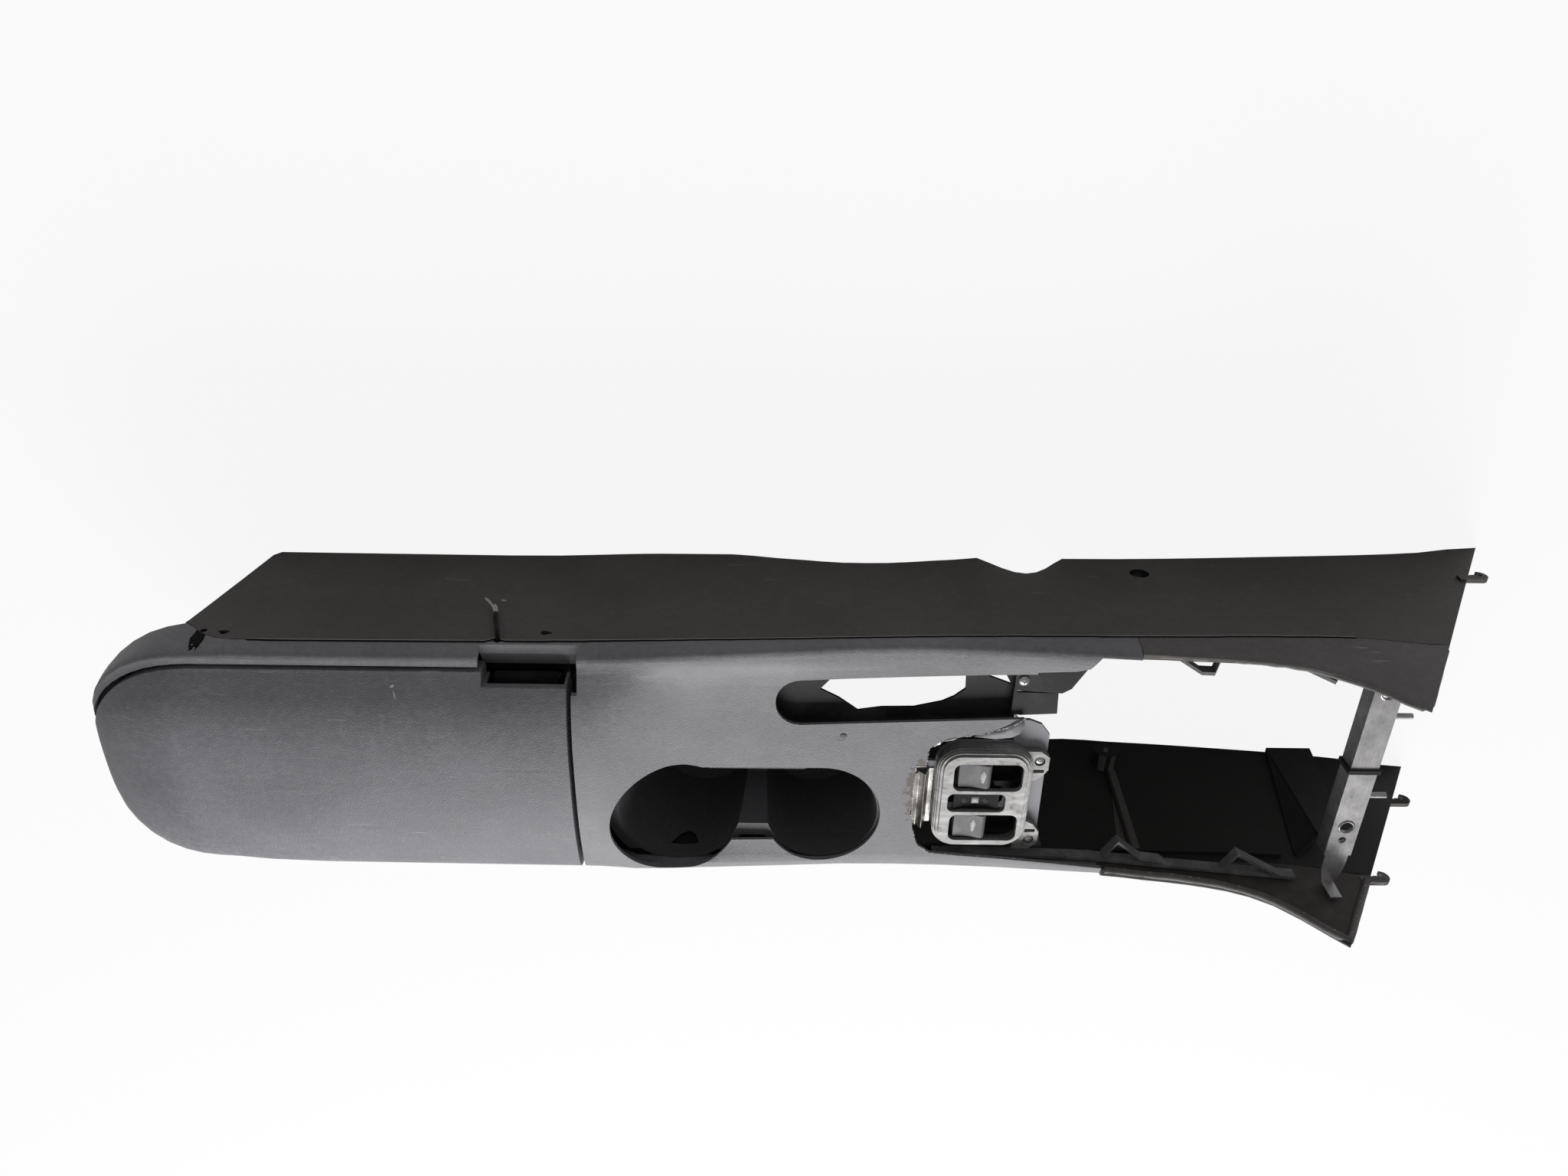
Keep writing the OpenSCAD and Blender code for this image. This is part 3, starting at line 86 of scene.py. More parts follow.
# Radius of one of the lead's two wires, as a share of the lead's width
WIRE_SHARE = 0.27
# Bare strands of each wire: how many, their radius and how far they wind off the middle, in
# millimetres, and the angles between two strands and between two points of one, in radians
STRANDS = 3
STRAND_RADIUS = 0.42
STRAND_OFFSET = 0.45
STRAND_SPREAD = 2.09
STRAND_WIND = 0.5


def hex_colour(code):
    """An sRGB hex colour as linear red, green, blue and alpha."""
    out = []
    for i in (0, 2, 4):
        v = int(code[i : i + 2], 16) / 255
        out.append(v / 12.92 if v <= 0.04045 else ((v + 0.055) / 1.055) ** 2.4)
    return (*out, 1.0)


def add(tree, kind, inputs=None, **settings):
    """Adds a node with its settings; an input is a value or the socket that feeds it."""
    made = tree.nodes.new(kind)
    for key, value in settings.items():
        setattr(made, key, value)
    for key, value in (inputs or {}).items():
        socket = made.inputs[key]
        if isinstance(value, bpy.types.NodeSocket):
            tree.links.new(value, socket)
        else:
            socket.default_value = value
    return made


def blank_material(name):
    """A material with its nodes cleared, its tree, and its Object coordinates in millimetres."""
    made = bpy.data.materials.new(name)
    made.use_nodes = True
    tree = made.node_tree
    tree.nodes.clear()
    coords = add(tree, "ShaderNodeTexCoord")
    in_mm = add(
        tree,
        "ShaderNodeMapping",
        {"Vector": coords.outputs["Object"], "Scale": (1000, 1000, 1000)},
    )
    return made, tree, in_mm.outputs["Vector"]


def ramp(tree, fac, stops):
    """A colour ramp of (position, grey or colour) stops."""
    made = add(tree, "ShaderNodeValToRGB", {"Fac": fac})
    band = made.color_ramp
    while len(band.elements) < len(stops):
        band.elements.new(0.5)
    for element, (place, value) in zip(band.elements, stops):
        element.position = place
        element.color = value if isinstance(value, tuple) else (value, value, value, 1)
    return made.outputs["Color"]


def stretched(tree, vector, scale, turn=0.0):
    """The pattern space squeezed by scale and turned about Z, in millimetres per unit."""
    return add(
        tree,
        "ShaderNodeMapping",
        {"Vector": vector, "Scale": scale, "Rotation": (0, 0, turn)},
    ).outputs["Vector"]


def blend_colour(tree, fac, low, high, mode="MIX"):
    """Mixes two colours by a share that is a number or a socket."""
    made = add(tree, "ShaderNodeMix", data_type="RGBA", blend_type=mode)
    for socket, value in ((made.inputs[0], fac), (made.inputs[6], low), (made.inputs[7], high)):
        if isinstance(value, bpy.types.NodeSocket):
            tree.links.new(value, socket)
        else:
            socket.default_value = value
    return made.outputs[2]


def seen_by_camera(tree):
    """A socket that is 1 for the camera's own rays and 0 for the rays that carry light."""
    path = add(tree, "ShaderNodeLightPath")
    return add(
        tree,
        "ShaderNodeMath",
        {0: path.outputs["Is Camera Ray"], 1: path.outputs["Is Transmission Ray"]},
        operation="MAXIMUM",
    ).outputs[0]


def shown(made, shader):
    """Joins a shader to the material's output and returns the material."""
    out = add(made.node_tree, "ShaderNodeOutputMaterial")
    made.node_tree.links.new(shader.outputs[0], out.inputs["Surface"])
    return made


def grained_moulding(
    name, colour, pale, grain_mm, grain_depth, roughness, scratches, dust, grime=None
):
    """Injection-moulded polypropylene with a leather grain. The eye sees a soft, uneven sheen,
    fine wrinkles, pale rubbed scratches along the car and a little dust in the grain."""
    made, tree, mm = blank_material(name)
    cells = add(
        tree,
        "ShaderNodeTexVoronoi",
        {"Vector": mm, "Scale": 1 / grain_mm, "Randomness": 1.0},
        feature="DISTANCE_TO_EDGE",
    )
    wrinkle = add(
        tree,
        "ShaderNodeTexNoise",
        {"Vector": mm, "Scale": 1 / (grain_mm * 2.4), "Detail": 4, "Roughness": 0.6},
    )
    blotch = add(
        tree, "ShaderNodeTexNoise", {"Vector": mm, "Scale": 1 / 70, "Detail": 3, "Roughness": 0.55}
    )
    pebble = ramp(tree, cells.outputs["Distance"], [(0.0, 0.0), (0.18, 1.0)])
    fold = add(
        tree, "ShaderNodeMath", {0: pebble, 1: wrinkle.outputs["Fac"]}, operation="MULTIPLY"
    ).outputs[0]
    tone = ramp(tree, blotch.outputs["Fac"], [(0.3, 0.86), (0.7, 1.08)])
    body = blend_colour(tree, 1.0, hex_colour(colour), tone, "MULTIPLY")
    speck = ramp(tree, wrinkle.outputs["Fac"], [(0.35, 0.9), (0.68, 1.08)])
    body = blend_colour(tree, 1.0, body, speck, "MULTIPLY")
    # Rubbed lines run mostly along the car, a few across it
    for turn, long_mm, seed in ((0.12, 55, 0.0), (-0.35, 40, 19.0), (1.35, 30, 37.0)):
        shifted = add(
            tree, "ShaderNodeVectorMath", {0: mm, 1: (seed, seed * 1.7, seed * 0.6)}, operation="ADD"
        ).outputs[0]
        lines = add(
            tree,
            "ShaderNodeTexNoise",
            {
                "Vector": stretched(tree, shifted, (1 / long_mm, 1 / 0.9, 1 / 6), turn),
                "Scale": 1.0,
                "Detail": 2,
                "Roughness": 0.4,
            },
        )
        gate = add(tree, "ShaderNodeTexNoise", {"Vector": shifted, "Scale": 1 / 45, "Detail": 2})
        line = ramp(tree, lines.outputs["Fac"], [(0.7, 0.0), (0.76, 1.0)])
        patch = ramp(tree, gate.outputs["Fac"], [(0.52, 0.0), (0.62, scratches)])
        mark = add(tree, "ShaderNodeMath", {0: line, 1: patch}, operation="MULTIPLY").outputs[0]
        body = blend_colour(tree, mark, body, hex_colour(pale))
    # Small nicks show the paler plastic under the skin
    nicks = add(tree, "ShaderNodeTexVoronoi", {"Vector": mm, "Scale": 1 / 34, "Randomness": 1.0})
    nick = ramp(tree, nicks.outputs["Distance"], [(0.012, 0.75 * scratches), (0.03, 0.0)])
    body = blend_colour(tree, nick, body, hex_colour(pale))
    settled = add(
        tree, "ShaderNodeTexNoise", {"Vector": mm, "Scale": 1 / 7, "Detail": 6, "Roughness": 0.7}
    )
    film = ramp(tree, settled.outputs["Fac"], [(0.5, 0.0), (0.75, dust * 0.35)])
    body = blend_colour(tree, film, body, hex_colour(pale))
    if grime:
        place, reach, tint = grime
        away = add(
            tree, "ShaderNodeVectorMath", {0: mm, 1: place}, operation="SUBTRACT"
        ).outputs[0]
        away = add(
            tree, "ShaderNodeVectorMath", {0: away, 1: tuple(1 / r for r in reach)}, operation="MULTIPLY"
        ).outputs[0]
        away = add(tree, "ShaderNodeVectorMath", {0: away}, operation="LENGTH").outputs["Value"]
        ragged = add(
            tree,
            "ShaderNodeMath",
            {0: wrinkle.outputs["Fac"], 1: 1.1, 2: away},
            operation="MULTIPLY_ADD",
        ).outputs[0]
        stain = ramp(tree, ragged, [(0.9, 0.7), (1.5, 0.0)])
        body = blend_colour(tree, stain, body, hex_colour(tint))
    rough = add(
        tree,
        "ShaderNodeMapRange",
        {"Value": wrinkle.outputs["Fac"], "To Min": roughness - 0.08, "To Max": roughness + 0.12},
    ).outputs[0]
    bump = add(
        tree,
        "ShaderNodeBump",
        {"Height": fold, "Strength": 0.9, "Distance": grain_depth * MM},
    )
    shader = add(
        tree,
        "ShaderNodeBsdfPrincipled",
        {"Base Color": body, "Roughness": rough, "Normal": bump.outputs["Normal"], "IOR": 1.49},
    )
    shader.inputs["Specular IOR Level"].default_value = 0.35
    return shown(made, shader)


def plain_moulding(name, colour, pale, roughness=0.5, smear=0.25, gloss=0.22):
    """Ungrained moulded ABS or nylon: a slightly glossy black or grey with faint flow marks,
    handling smears and a paler bloom on its rubbed places."""
    made, tree, mm = blank_material(name)
    cloud = add(tree, "ShaderNodeTexNoise", {"Vector": mm, "Scale": 1 / 18, "Detail": 5, "Roughness": 0.65})
    fine = add(tree, "ShaderNodeTexNoise", {"Vector": mm, "Scale": 1 / 0.8, "Detail": 2})
    bloom = ramp(tree, cloud.outputs["Fac"], [(0.48, 0.0), (0.78, smear)])
    body = blend_colour(tree, bloom, hex_colour(colour), hex_colour(pale))
    rough = add(
        tree,
        "ShaderNodeMapRange",
        {"Value": cloud.outputs["Fac"], "To Min": roughness - 0.12, "To Max": roughness + 0.15},
    ).outputs[0]
    bump = add(
        tree, "ShaderNodeBump", {"Height": fine.outputs["Fac"], "Strength": 0.35, "Distance": 0.05 * MM}
    )
    shader = add(
        tree,
        "ShaderNodeBsdfPrincipled",
        {"Base Color": body, "Roughness": rough, "Normal": bump.outputs["Normal"], "IOR": 1.53},
    )
    shader.inputs["Specular IOR Level"].default_value = gloss
    return shown(made, shader)


def zinc_steel(name, colour, dark, roughness=0.38):
    """Pressed mild steel with dull zinc plating: a grey, cloudy, half-bright metal with rolling
    marks, fingerprints and darker dirt in patches."""
    made, tree, mm = blank_material(name)
    cloud = add(tree, "ShaderNodeTexNoise", {"Vector": mm, "Scale": 1 / 16, "Detail": 6, "Roughness": 0.7})
    rolled = add(
        tree,
        "ShaderNodeTexNoise",
        {"Vector": stretched(tree, mm, (1 / 0.5, 1 / 18, 1 / 3)), "Scale": 1.0, "Detail": 3},
    )
    tone = ramp(tree, cloud.outputs["Fac"], [(0.36, hex_colour(dark)), (0.62, hex_colour(colour))])
    streak = ramp(tree, rolled.outputs["Fac"], [(0.3, 0.86), (0.7, 1.05)])
    body = blend_colour(tree, 1.0, tone, streak, "MULTIPLY")
    rough = add(
        tree,
        "ShaderNodeMapRange",
        {"Value": cloud.outputs["Fac"], "To Min": roughness + 0.14, "To Max": roughness - 0.08},
    ).outputs[0]
    bump = add(
        tree, "ShaderNodeBump", {"Height": rolled.outputs["Fac"], "Strength": 0.3, "Distance": 0.06 * MM}
    )
    shader = add(
        tree,
        "ShaderNodeBsdfPrincipled",
        {"Base Color": body, "Roughness": rough, "Normal": bump.outputs["Normal"], "Metallic": 0.85},
    )
    return shown(made, shader)


def worn_lacquer(name, colour, bare, dirt):
    """Silver lacquer on ABS, rubbed by hands: scuffed satin grey with paler rubbed streaks and
    brown dirt held in its pores."""
    made, tree, mm = blank_material(name)
    cloud = add(tree, "ShaderNodeTexNoise", {"Vector": mm, "Scale": 1 / 6, "Detail": 7, "Roughness": 0.72})
    pores = add(tree, "ShaderNodeTexNoise", {"Vector": mm, "Scale": 1 / 1.4, "Detail": 5, "Roughness": 0.7})
    rubs = add(
        tree,
        "ShaderNodeTexNoise",
        {"Vector": stretched(tree, mm, (1 / 16, 1 / 4, 1 / 8), 0.5), "Scale": 1.0, "Detail": 3},
    )
    tone = ramp(tree, cloud.outputs["Fac"], [(0.3, hex_colour(dirt)), (0.46, hex_colour(colour))])
    rub = ramp(tree, rubs.outputs["Fac"], [(0.46, 0.0), (0.7, 0.8)])
    body = blend_colour(tree, rub, tone, hex_colour(bare))
    pore = ramp(tree, pores.outputs["Fac"], [(0.28, 0.5), (0.36, 0.0)])
    body = blend_colour(tree, pore, body, hex_colour(dirt))
    rough = add(
        tree, "ShaderNodeMapRange", {"Value": cloud.outputs["Fac"], "To Min": 0.62, "To Max": 0.34}
    ).outputs[0]
    bump = add(
        tree, "ShaderNodeBump", {"Height": pores.outputs["Fac"], "Strength": 0.5, "Distance": 0.12 * MM}
    )
    shader = add(
        tree,
        "ShaderNodeBsdfPrincipled",
        {"Base Color": body, "Roughness": rough, "Normal": bump.outputs["Normal"], "Metallic": 0.35},
    )
    return shown(made, shader)


FINISHES = {}


def make_finishes():
    """Makes every finish once, by the plain name that the steps below use."""
    # Grey leather grain, soiled brown beside the switch; the lid is slightly darker
    FINISHES["deck"] = grained_moulding(
        "Grained polypropylene, deck grey", "87868A", "B4B2B0", 1.5, 0.14, 0.5, 0.55, 0.3,
        ((66, -24, 126), (20, 60, 30), "5A4A3C"),
    )
    FINISHES["lid"] = grained_moulding(
        "Grained lid skin, mid grey", "7E7E83", "B9B8B6", 1.7, 0.16, 0.5, 0.45, 0.25
    )
    # Walls painted darker and warmer than the deck, as painted shade on the same plastic, and front trims a
    # little darker, with paler rubbed lines
    FINISHES["panel"] = grained_moulding(
        "Grained polypropylene, panel with painted shade", "615D5B", "8E8B88", 1.3, 0.1, 0.55, 0.4, 0.35
    )
    FINISHES["flare"] = grained_moulding(
        "Grained polypropylene, front trim", "706D6C", "B0AEAB", 1.4, 0.12, 0.52, 0.5, 0.3
    )
    # Dark grey wells with hardly any grain
    FINISHES["cup"] = grained_moulding(
        "Moulded cup well plastic", "545356", "7B797A", 1.2, 0.06, 0.5, 0.25, 0.2
    )
    # Ungrained backs, darkened as painted shade inside the console: near black in the walls, paler and
    # dustier in the front trims
    FINISHES["inside"] = plain_moulding("Moulded inner face, painted shade", "2B2A29", "4A4744", 0.6, 0.2)
    FINISHES["trim inside"] = plain_moulding("Moulded inner face, front trim, painted shade", "4B4846", "7A746E", 0.6, 0.5)
    # Plain nylon and ABS, from near black to pale grey, with paler bloom where they are handled
    FINISHES["black"] = plain_moulding("Moulded black nylon", "262525", "504E4C")
    FINISHES["liner"] = plain_moulding("Moulded black liner", "242323", "5B5856", 0.5, 0.4)
    FINISHES["rail"] = plain_moulding("Clip rail nylon, scuffed", "6C6B6C", "A9A8A7", 0.5, 0.7)
    FINISHES["pale"] = plain_moulding("Moulded pale grey ABS", "97969B", "ABA9AB", 0.45, 0.3)
    FINISHES["rocker"] = plain_moulding("Rocker plastic, rubbed", "6A696B", "A2A09E", 0.38, 0.6)
    FINISHES["lock"] = plain_moulding("Lock rocker plastic, black", "1B1B1C", "454443", 0.5, 0.3, 0.08)
    # Scuffed silver round the rockers, dull plated steel, and a brighter spring clip
    FINISHES["lacquer"] = worn_lacquer("Worn silver lacquer", "8B8A89", "B2B1AF", "5C5855")
    FINISHES["steel"] = zinc_steel("Zinc plated steel", "D2D0D1", "A4A2A3")
    FINISHES["bright"] = zinc_steel("Bright spring steel", "D8D6D2", "7A7672", 0.26)
    # Dull black buffers, a smoother black wire jacket and pale bare strands
    FINISHES["rubber"] = plain_moulding("Rubber", "171717", "3A3836", 0.75, 0.2)
    FINISHES["jacket"] = plain_moulding("Wire jacket, soft vinyl", "121212", "343332", 0.35, 0.2)
    FINISHES["copper"] = plain_moulding("Tinned copper strands", "D8D4CE", "F0ECE6", 0.3, 0.5)
    # Torn and rubbed plastic turns pale, a pale edge line is a painted highlight, dimples read as dark and
    # gaps are painted black as their shadow
    FINISHES["break"] = plain_moulding("Stress-whitened break", "B9B7B4", "E4E2DF", 0.6, 0.8)
    FINISHES["tile"] = plain_moulding("Rubbed bright plastic", "B5B3B2", "DCDAD8", 0.35, 0.8)
    FINISHES["dimple"] = plain_moulding("Finger dimple", "3A3A3B", "5A5958", 0.5, 0.3, 0.08)
    FINISHES["gap"] = plain_moulding("Shadowed gap", "0B0B0B", "1A1919", 0.8, 0.1)
    FINISHES["rubbed"] = plain_moulding("Panel edge painted highlight", "A8A5A2", "D0CDCA", 0.45, 0.5)


def dress(node, finish):
    """Gives a carried-over CAD node its finish."""
    piece = NODES[node]
    piece.data.materials.clear()
    piece.data.materials.append(FINISHES[finish])


def piece_from(bm, name, finish, body, sharp=35, inner=None):
    """Turns a bmesh in the row frame into a piece that rides on a body."""
    for edge in bm.edges:
        edge.smooth = len(edge.link_faces) != 2 or edge.calc_face_angle(0) < math.radians(sharp)
    for face in bm.faces:
        face.smooth = True
    mesh = bpy.data.meshes.new(name)
    bm.to_mesh(mesh)
    bm.free()
    mesh.materials.append(FINISHES[finish])
    if inner:
        mesh.materials.append(FINISHES[inner])
    piece = bpy.data.objects.new(name, mesh)
    bpy.context.scene.collection.objects.link(piece)
    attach(piece, body)
    return piece


# Corners of a CAD node nearer than this, in millimetres, become one
MERGE_WITHIN = 0.02


def merged(node):
    """A merged bmesh copy of a CAD node."""
    bm = bmesh.new()
    bm.from_mesh(NODES[node].data)
    bmesh.ops.remove_doubles(bm, verts=bm.verts, dist=MERGE_WITHIN * MM)
    return bm


def paint_inner_shade(bm, bead):
    """Gives the second, darker finish, as painted shade, to faces that look down, and to faces that look into
    the console below a bead on the top edge.
    """
    step = 4 * MM
    tops = {}
    for vert in bm.verts:
        key = (round(vert.co.x / step), vert.co.y > 0)
        tops[key] = max(tops.get(key, 0), vert.co.z)
    for face in bm.faces:
        middle = face.calc_center_median()
        inward = -face.normal.y if middle.y > 0 else face.normal.y
        top = tops.get((round(middle.x / step), middle.y > 0), 1)
        if face.normal.z < -0.4 or (inward > -0.3 and middle.z < top - bead):
            face.material_index = 1


# Faces that turn by less than this many degrees become one before the edges are rounded
FLAT_WITHIN = 0.6


def skin_over(node, finish, round_mm=0.8, sharp=35, segments=2, inner=None, bead=0.007):
    """A merged copy of a CAD node with rounded edges, which stands for that node."""
    bm = merged(node)
    bmesh.ops.dissolve_limit(
        bm, angle_limit=math.radians(FLAT_WITHIN), verts=bm.verts, edges=bm.edges,
        use_dissolve_boundaries=False,
    )
    if inner:
        paint_inner_shade(bm, bead)
    piece = piece_from(bm, node + "_skin", finish, NODES[node]["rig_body"], sharp, inner)
    bevel = piece.modifiers.new("Rounded edges", "BEVEL")
    bevel.width = round_mm * MM
    bevel.segments = segments
    bevel.limit_method = "ANGLE"
    bevel.angle_limit = math.radians(sharp)
    bevel.harden_normals = True
    evened = piece.modifiers.new("Even shading", "WEIGHTED_NORMAL")
    evened.keep_sharp = True
    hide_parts(node)
    return piece


def add_tube(bm, points, radius, sides=12):
    """Sweeps a round wire along points in the row frame, closed at both ends."""
    rings = []
    side = Vector((1, 0, 0))
    for i, point in enumerate(points):
        ahead = (points[min(i + 1, len(points) - 1)] - points[max(i - 1, 0)]).normalized()
        side = (side - ahead * side.dot(ahead)).normalized()
        spot = Matrix.Translation(point) @ Matrix((side, ahead.cross(side), ahead)).transposed().to_4x4()
        made = bmesh.ops.create_circle(bm, segments=sides, radius=radius, matrix=spot)
        rings.append(made["verts"])
    for low, high in zip(rings, rings[1:]):
        for k in range(sides):
            bm.faces.new((low[k], low[(k + 1) % sides], high[(k + 1) % sides], high[k]))
    for ring in (rings[0], rings[-1]):
        bm.faces.new(ring)
    bmesh.ops.recalc_face_normals(bm, faces=bm.faces)


def surface_of(node):
    """A CAD node's surface, for casting rays on it."""
    bm = merged(node)
    tree = BVHTree.FromBMesh(bm)
    bm.free()
    return tree


# A plate's outline is cast from this far behind itself, over this reach, in metres
CAST_BACK = 0.06
CAST_REACH = 0.2
# Thickness of a plate, in millimetres
PLATE_THICK = 0.4
# A cast at a wall starts this far from the middle and reaches only the nearer wall, in metres
WALL_START = 0.2
WALL_REACH = 0.14
# Spacing of the flakes along a broken edge, in millimetres
FLAKE_GAP = 1.1


def plate_on(node, outline, look, name, finish, body="console", lift=0.15, cuts=3):
    """A thin plate laid on a node's surface: the outline in millimetres is cast along look."""
    tree = surface_of(node)
    look = Vector(look).normalized()
    bm = bmesh.new()
    bm.faces.new([bm.verts.new(Vector(v) * MM) for v in outline])
    bmesh.ops.triangulate(bm, faces=bm.faces)
    bmesh.ops.subdivide_edges(bm, edges=bm.edges, cuts=cuts, use_grid_fill=True)
    for vert in bm.verts:
        hit = tree.ray_cast(vert.co - look * CAST_BACK, look, CAST_REACH)[0]
        if not hit:
            hit = tree.find_nearest(vert.co)[0]
        vert.co = hit - look * lift * MM
    if bm.faces[:][0].normal.dot(look) > 0:
        bmesh.ops.reverse_faces(bm, faces=bm.faces)
    piece = piece_from(bm, name, finish, body, 60)
    thick = piece.modifiers.new("Thickness", "SOLIDIFY")
    thick.thickness = PLATE_THICK * MM
    return piece


def oval(x, y, z, along, across, turn=0.0, sides=18, upright=False):
    """An oval outline in millimetres, flat or standing in the XZ plane."""
    out = []
    for k in range(sides):
        a = 2 * math.pi * k / sides
        u, v = along / 2 * math.cos(a), across / 2 * math.sin(a)
        u, v = u * math.cos(turn) - v * math.sin(turn), u * math.sin(turn) + v * math.cos(turn)
        out.append((x + u, y, z + v) if upright else (x + u, y + v, z))
    return out


def top_edge(node, left, x0, x1, step=6):
    """Points on the upper edge of a wall panel, in metres, from its own mesh."""
    tree = surface_of(node)
    outside = WALL_START if left else -WALL_START
    look = Vector((0, -1 if left else 1, 0))
    out = []
    for x in range(x0, x1, step):
        # From above the tips downwards, in steps of 0.4 mm, until the wall is met
        for z in range(1990, 1000, -4):
            hit = tree.ray_cast(Vector((x * MM, outside, z * MM / 10)), look, WALL_REACH)[0]
            if hit:
                out.append(hit)
                break
    return out


def flakes_along(bm, points, chance, long_mm, wide_mm, draw, drop=0.0):
    """Sets small broken flakes of plastic along a line of points in metres."""
    for a, b in zip(points, points[1:]):
        along = b - a
        for _ in range(max(1, round(along.length / (FLAKE_GAP * MM)))):
            if draw.random() > chance:
                continue
            place = a + along * draw.random() + Vector((0, 0, -drop * MM))
            size = draw.uniform(0.4, 1.0)
            turn = Matrix.Rotation(math.atan2(along.y, along.x) + draw.uniform(-0.5, 0.5), 4, "Z")
            tilt = Matrix.Rotation(draw.uniform(-0.5, 0.5), 4, "X")
            scale = Matrix.Diagonal((long_mm * size * MM, wide_mm * size * MM, 0.5 * size * MM, 1))
            bmesh.ops.create_cone(
                bm, cap_ends=True, segments=5, radius1=1, radius2=0.4, depth=1,
                matrix=Matrix.Translation(place) @ turn @ tilt @ scale,
            )


def curve_points(knots, step):
    """Points on a smooth curve through the knots, about one step apart."""
    out = []
    for i in range(len(knots) - 1):
        a, b, c, d = knots[max(i - 1, 0)], knots[i], knots[i + 1], knots[min(i + 2, len(knots) - 1)]
        parts = max(1, round((c - b).length / step))
        for k in range(parts):
            s = k / parts
            out.append(
                0.5
                * (2 * b + (c - a) * s + (2 * a - 5 * b + 4 * c - d) * s * s + (3 * b - a - 3 * c + d) * s**3)
            )
    out.append(knots[-1])
    return out


class ConsoleStudioSettings(bpy.types.PropertyGroup):
    camera_place: FloatVectorProperty(
        name="Camera place",
        description="Where the camera stands",
        subtype="TRANSLATION",
        unit="LENGTH",
        default=(-0.0344, 0.4649, 0.7357),
    )
    camera_lens: FloatProperty(
        name="Lens", description="Focal length on a 36 mm wide sensor", default=27.07, min=10
    )
    key_power: FloatProperty(
        name="Key lamp",
        description="Power of the large lamp on the right side",
        default=49,
        unit="POWER",
    )
    fill_power: FloatProperty(
        name="Fill lamp", description="Power of the lamp over the left side", default=0.7, unit="POWER"
    )
    ambient: FloatProperty(name="Ambient", description="Strength of the grey surroundings", default=0.21)


class ConsoleDetailSettings(bpy.types.PropertyGroup):
    edge_round: FloatProperty(
        name="Moulded edge", description="Rounding of the moulded edges", default=0.0008, unit="LENGTH"
    )
    lead_width: FloatProperty(
        name="Lead wire", description="Width of the twin lead", default=0.003, unit="LENGTH"
    )


class CONSOLE_OT_stage(bpy.types.Operator):
    """Sets the pale floor, the soft lamps and the camera"""

    bl_idname = "console.stage"
    bl_label = "Stage, lamps and camera"

    def execute(self, context):
        scene = context.scene
        studio = scene.console_studio
        scene.view_settings.view_transform = "Standard"
        lens = bpy.data.cameras.new("Camera")
        lens.sensor_fit = "HORIZONTAL"
        lens.sensor_width = 36
        lens.lens = studio.camera_lens
        lens.clip_end = 20
        camera = bpy.data.objects.new("Camera", lens)
        right = Vector((0.9998, 0.0188, 0.0053)).normalized()
        ahead = Vector((0.0138, -0.4847, -0.8746)).normalized()
        up = right.cross(ahead)
        camera.matrix_world = Matrix.Translation(studio.camera_place) @ Matrix(
            (right, up, -ahead)
        ).transposed().to_4x4()
        scene.collection.objects.link(camera)
        scene.camera = camera

        world = bpy.data.worlds.new("Surroundings")
        world.use_nodes = True
        tree = world.node_tree
        tree.nodes.clear()
        seen = seen_by_camera(tree)
        dim = add(tree, "ShaderNodeBackground", {"Color": (1, 1, 1, 1), "Strength": studio.ambient})
        white = add(tree, "ShaderNodeBackground", {"Color": (1, 1, 1, 1), "Strength": 1.0})
        mix = add(tree, "ShaderNodeMixShader", {0: seen, 1: dim.outputs[0], 2: white.outputs[0]})
        out = add(tree, "ShaderNodeOutputWorld")
        tree.links.new(mix.outputs[0], out.inputs["Surface"])
        scene.world = world

        bm = bmesh.new()
        below = Matrix.Translation((0, 0, -0.0002))
        bmesh.ops.create_grid(bm, x_segments=1, y_segments=1, size=6, matrix=below)
        mesh = bpy.data.meshes.new("Floor")
        bm.to_mesh(mesh)
        bm.free()
        floor = bpy.data.objects.new("Floor", mesh)
        scene.collection.objects.link(floor)
        paper = bpy.data.materials.new("White studio paper")
        paper.use_nodes = True
        tree = paper.node_tree
        tree.nodes.clear()
        seen = seen_by_camera(tree)
        share = add(tree, "ShaderNodeMath", {0: seen, 1: 0.9}, operation="MULTIPLY").outputs[0]
        matt = add(tree, "ShaderNodeBsdfDiffuse", {"Color": (0.8, 0.8, 0.8, 1)})
        glow = add(tree, "ShaderNodeEmission", {"Color": (1, 1, 1, 1), "Strength": 1.0})
        mix = add(tree, "ShaderNodeMixShader", {0: share, 1: matt.outputs[0], 2: glow.outputs[0]})
        out = add(tree, "ShaderNodeOutputMaterial")
        tree.links.new(mix.outputs[0], out.inputs["Surface"])
        floor.data.materials.append(paper)

        for name, power, size, place, target in (
            ("Key lamp", studio.key_power, (1.8, 0.9), (0.1, -1.6, 1.15), (0, 0, 0.1)),
            ("Fill lamp", studio.fill_power, (1.8, 1.0), (0.0, 1.2, 1.4), (0, 0, 0.1)),
        ):
            lamp = bpy.data.lights.new(name, "AREA")
            lamp.shape = "RECTANGLE"
            lamp.size, lamp.size_y = size
            lamp.energy = power
            stand = bpy.data.objects.new(name, lamp)
            aim = (Vector(target) - Vector(place)).to_track_quat("-Z", "Y")
            stand.matrix_world = Matrix.Translation(place) @ aim.to_matrix().to_4x4()
            scene.collection.objects.link(stand)
        return {"FINISHED"}


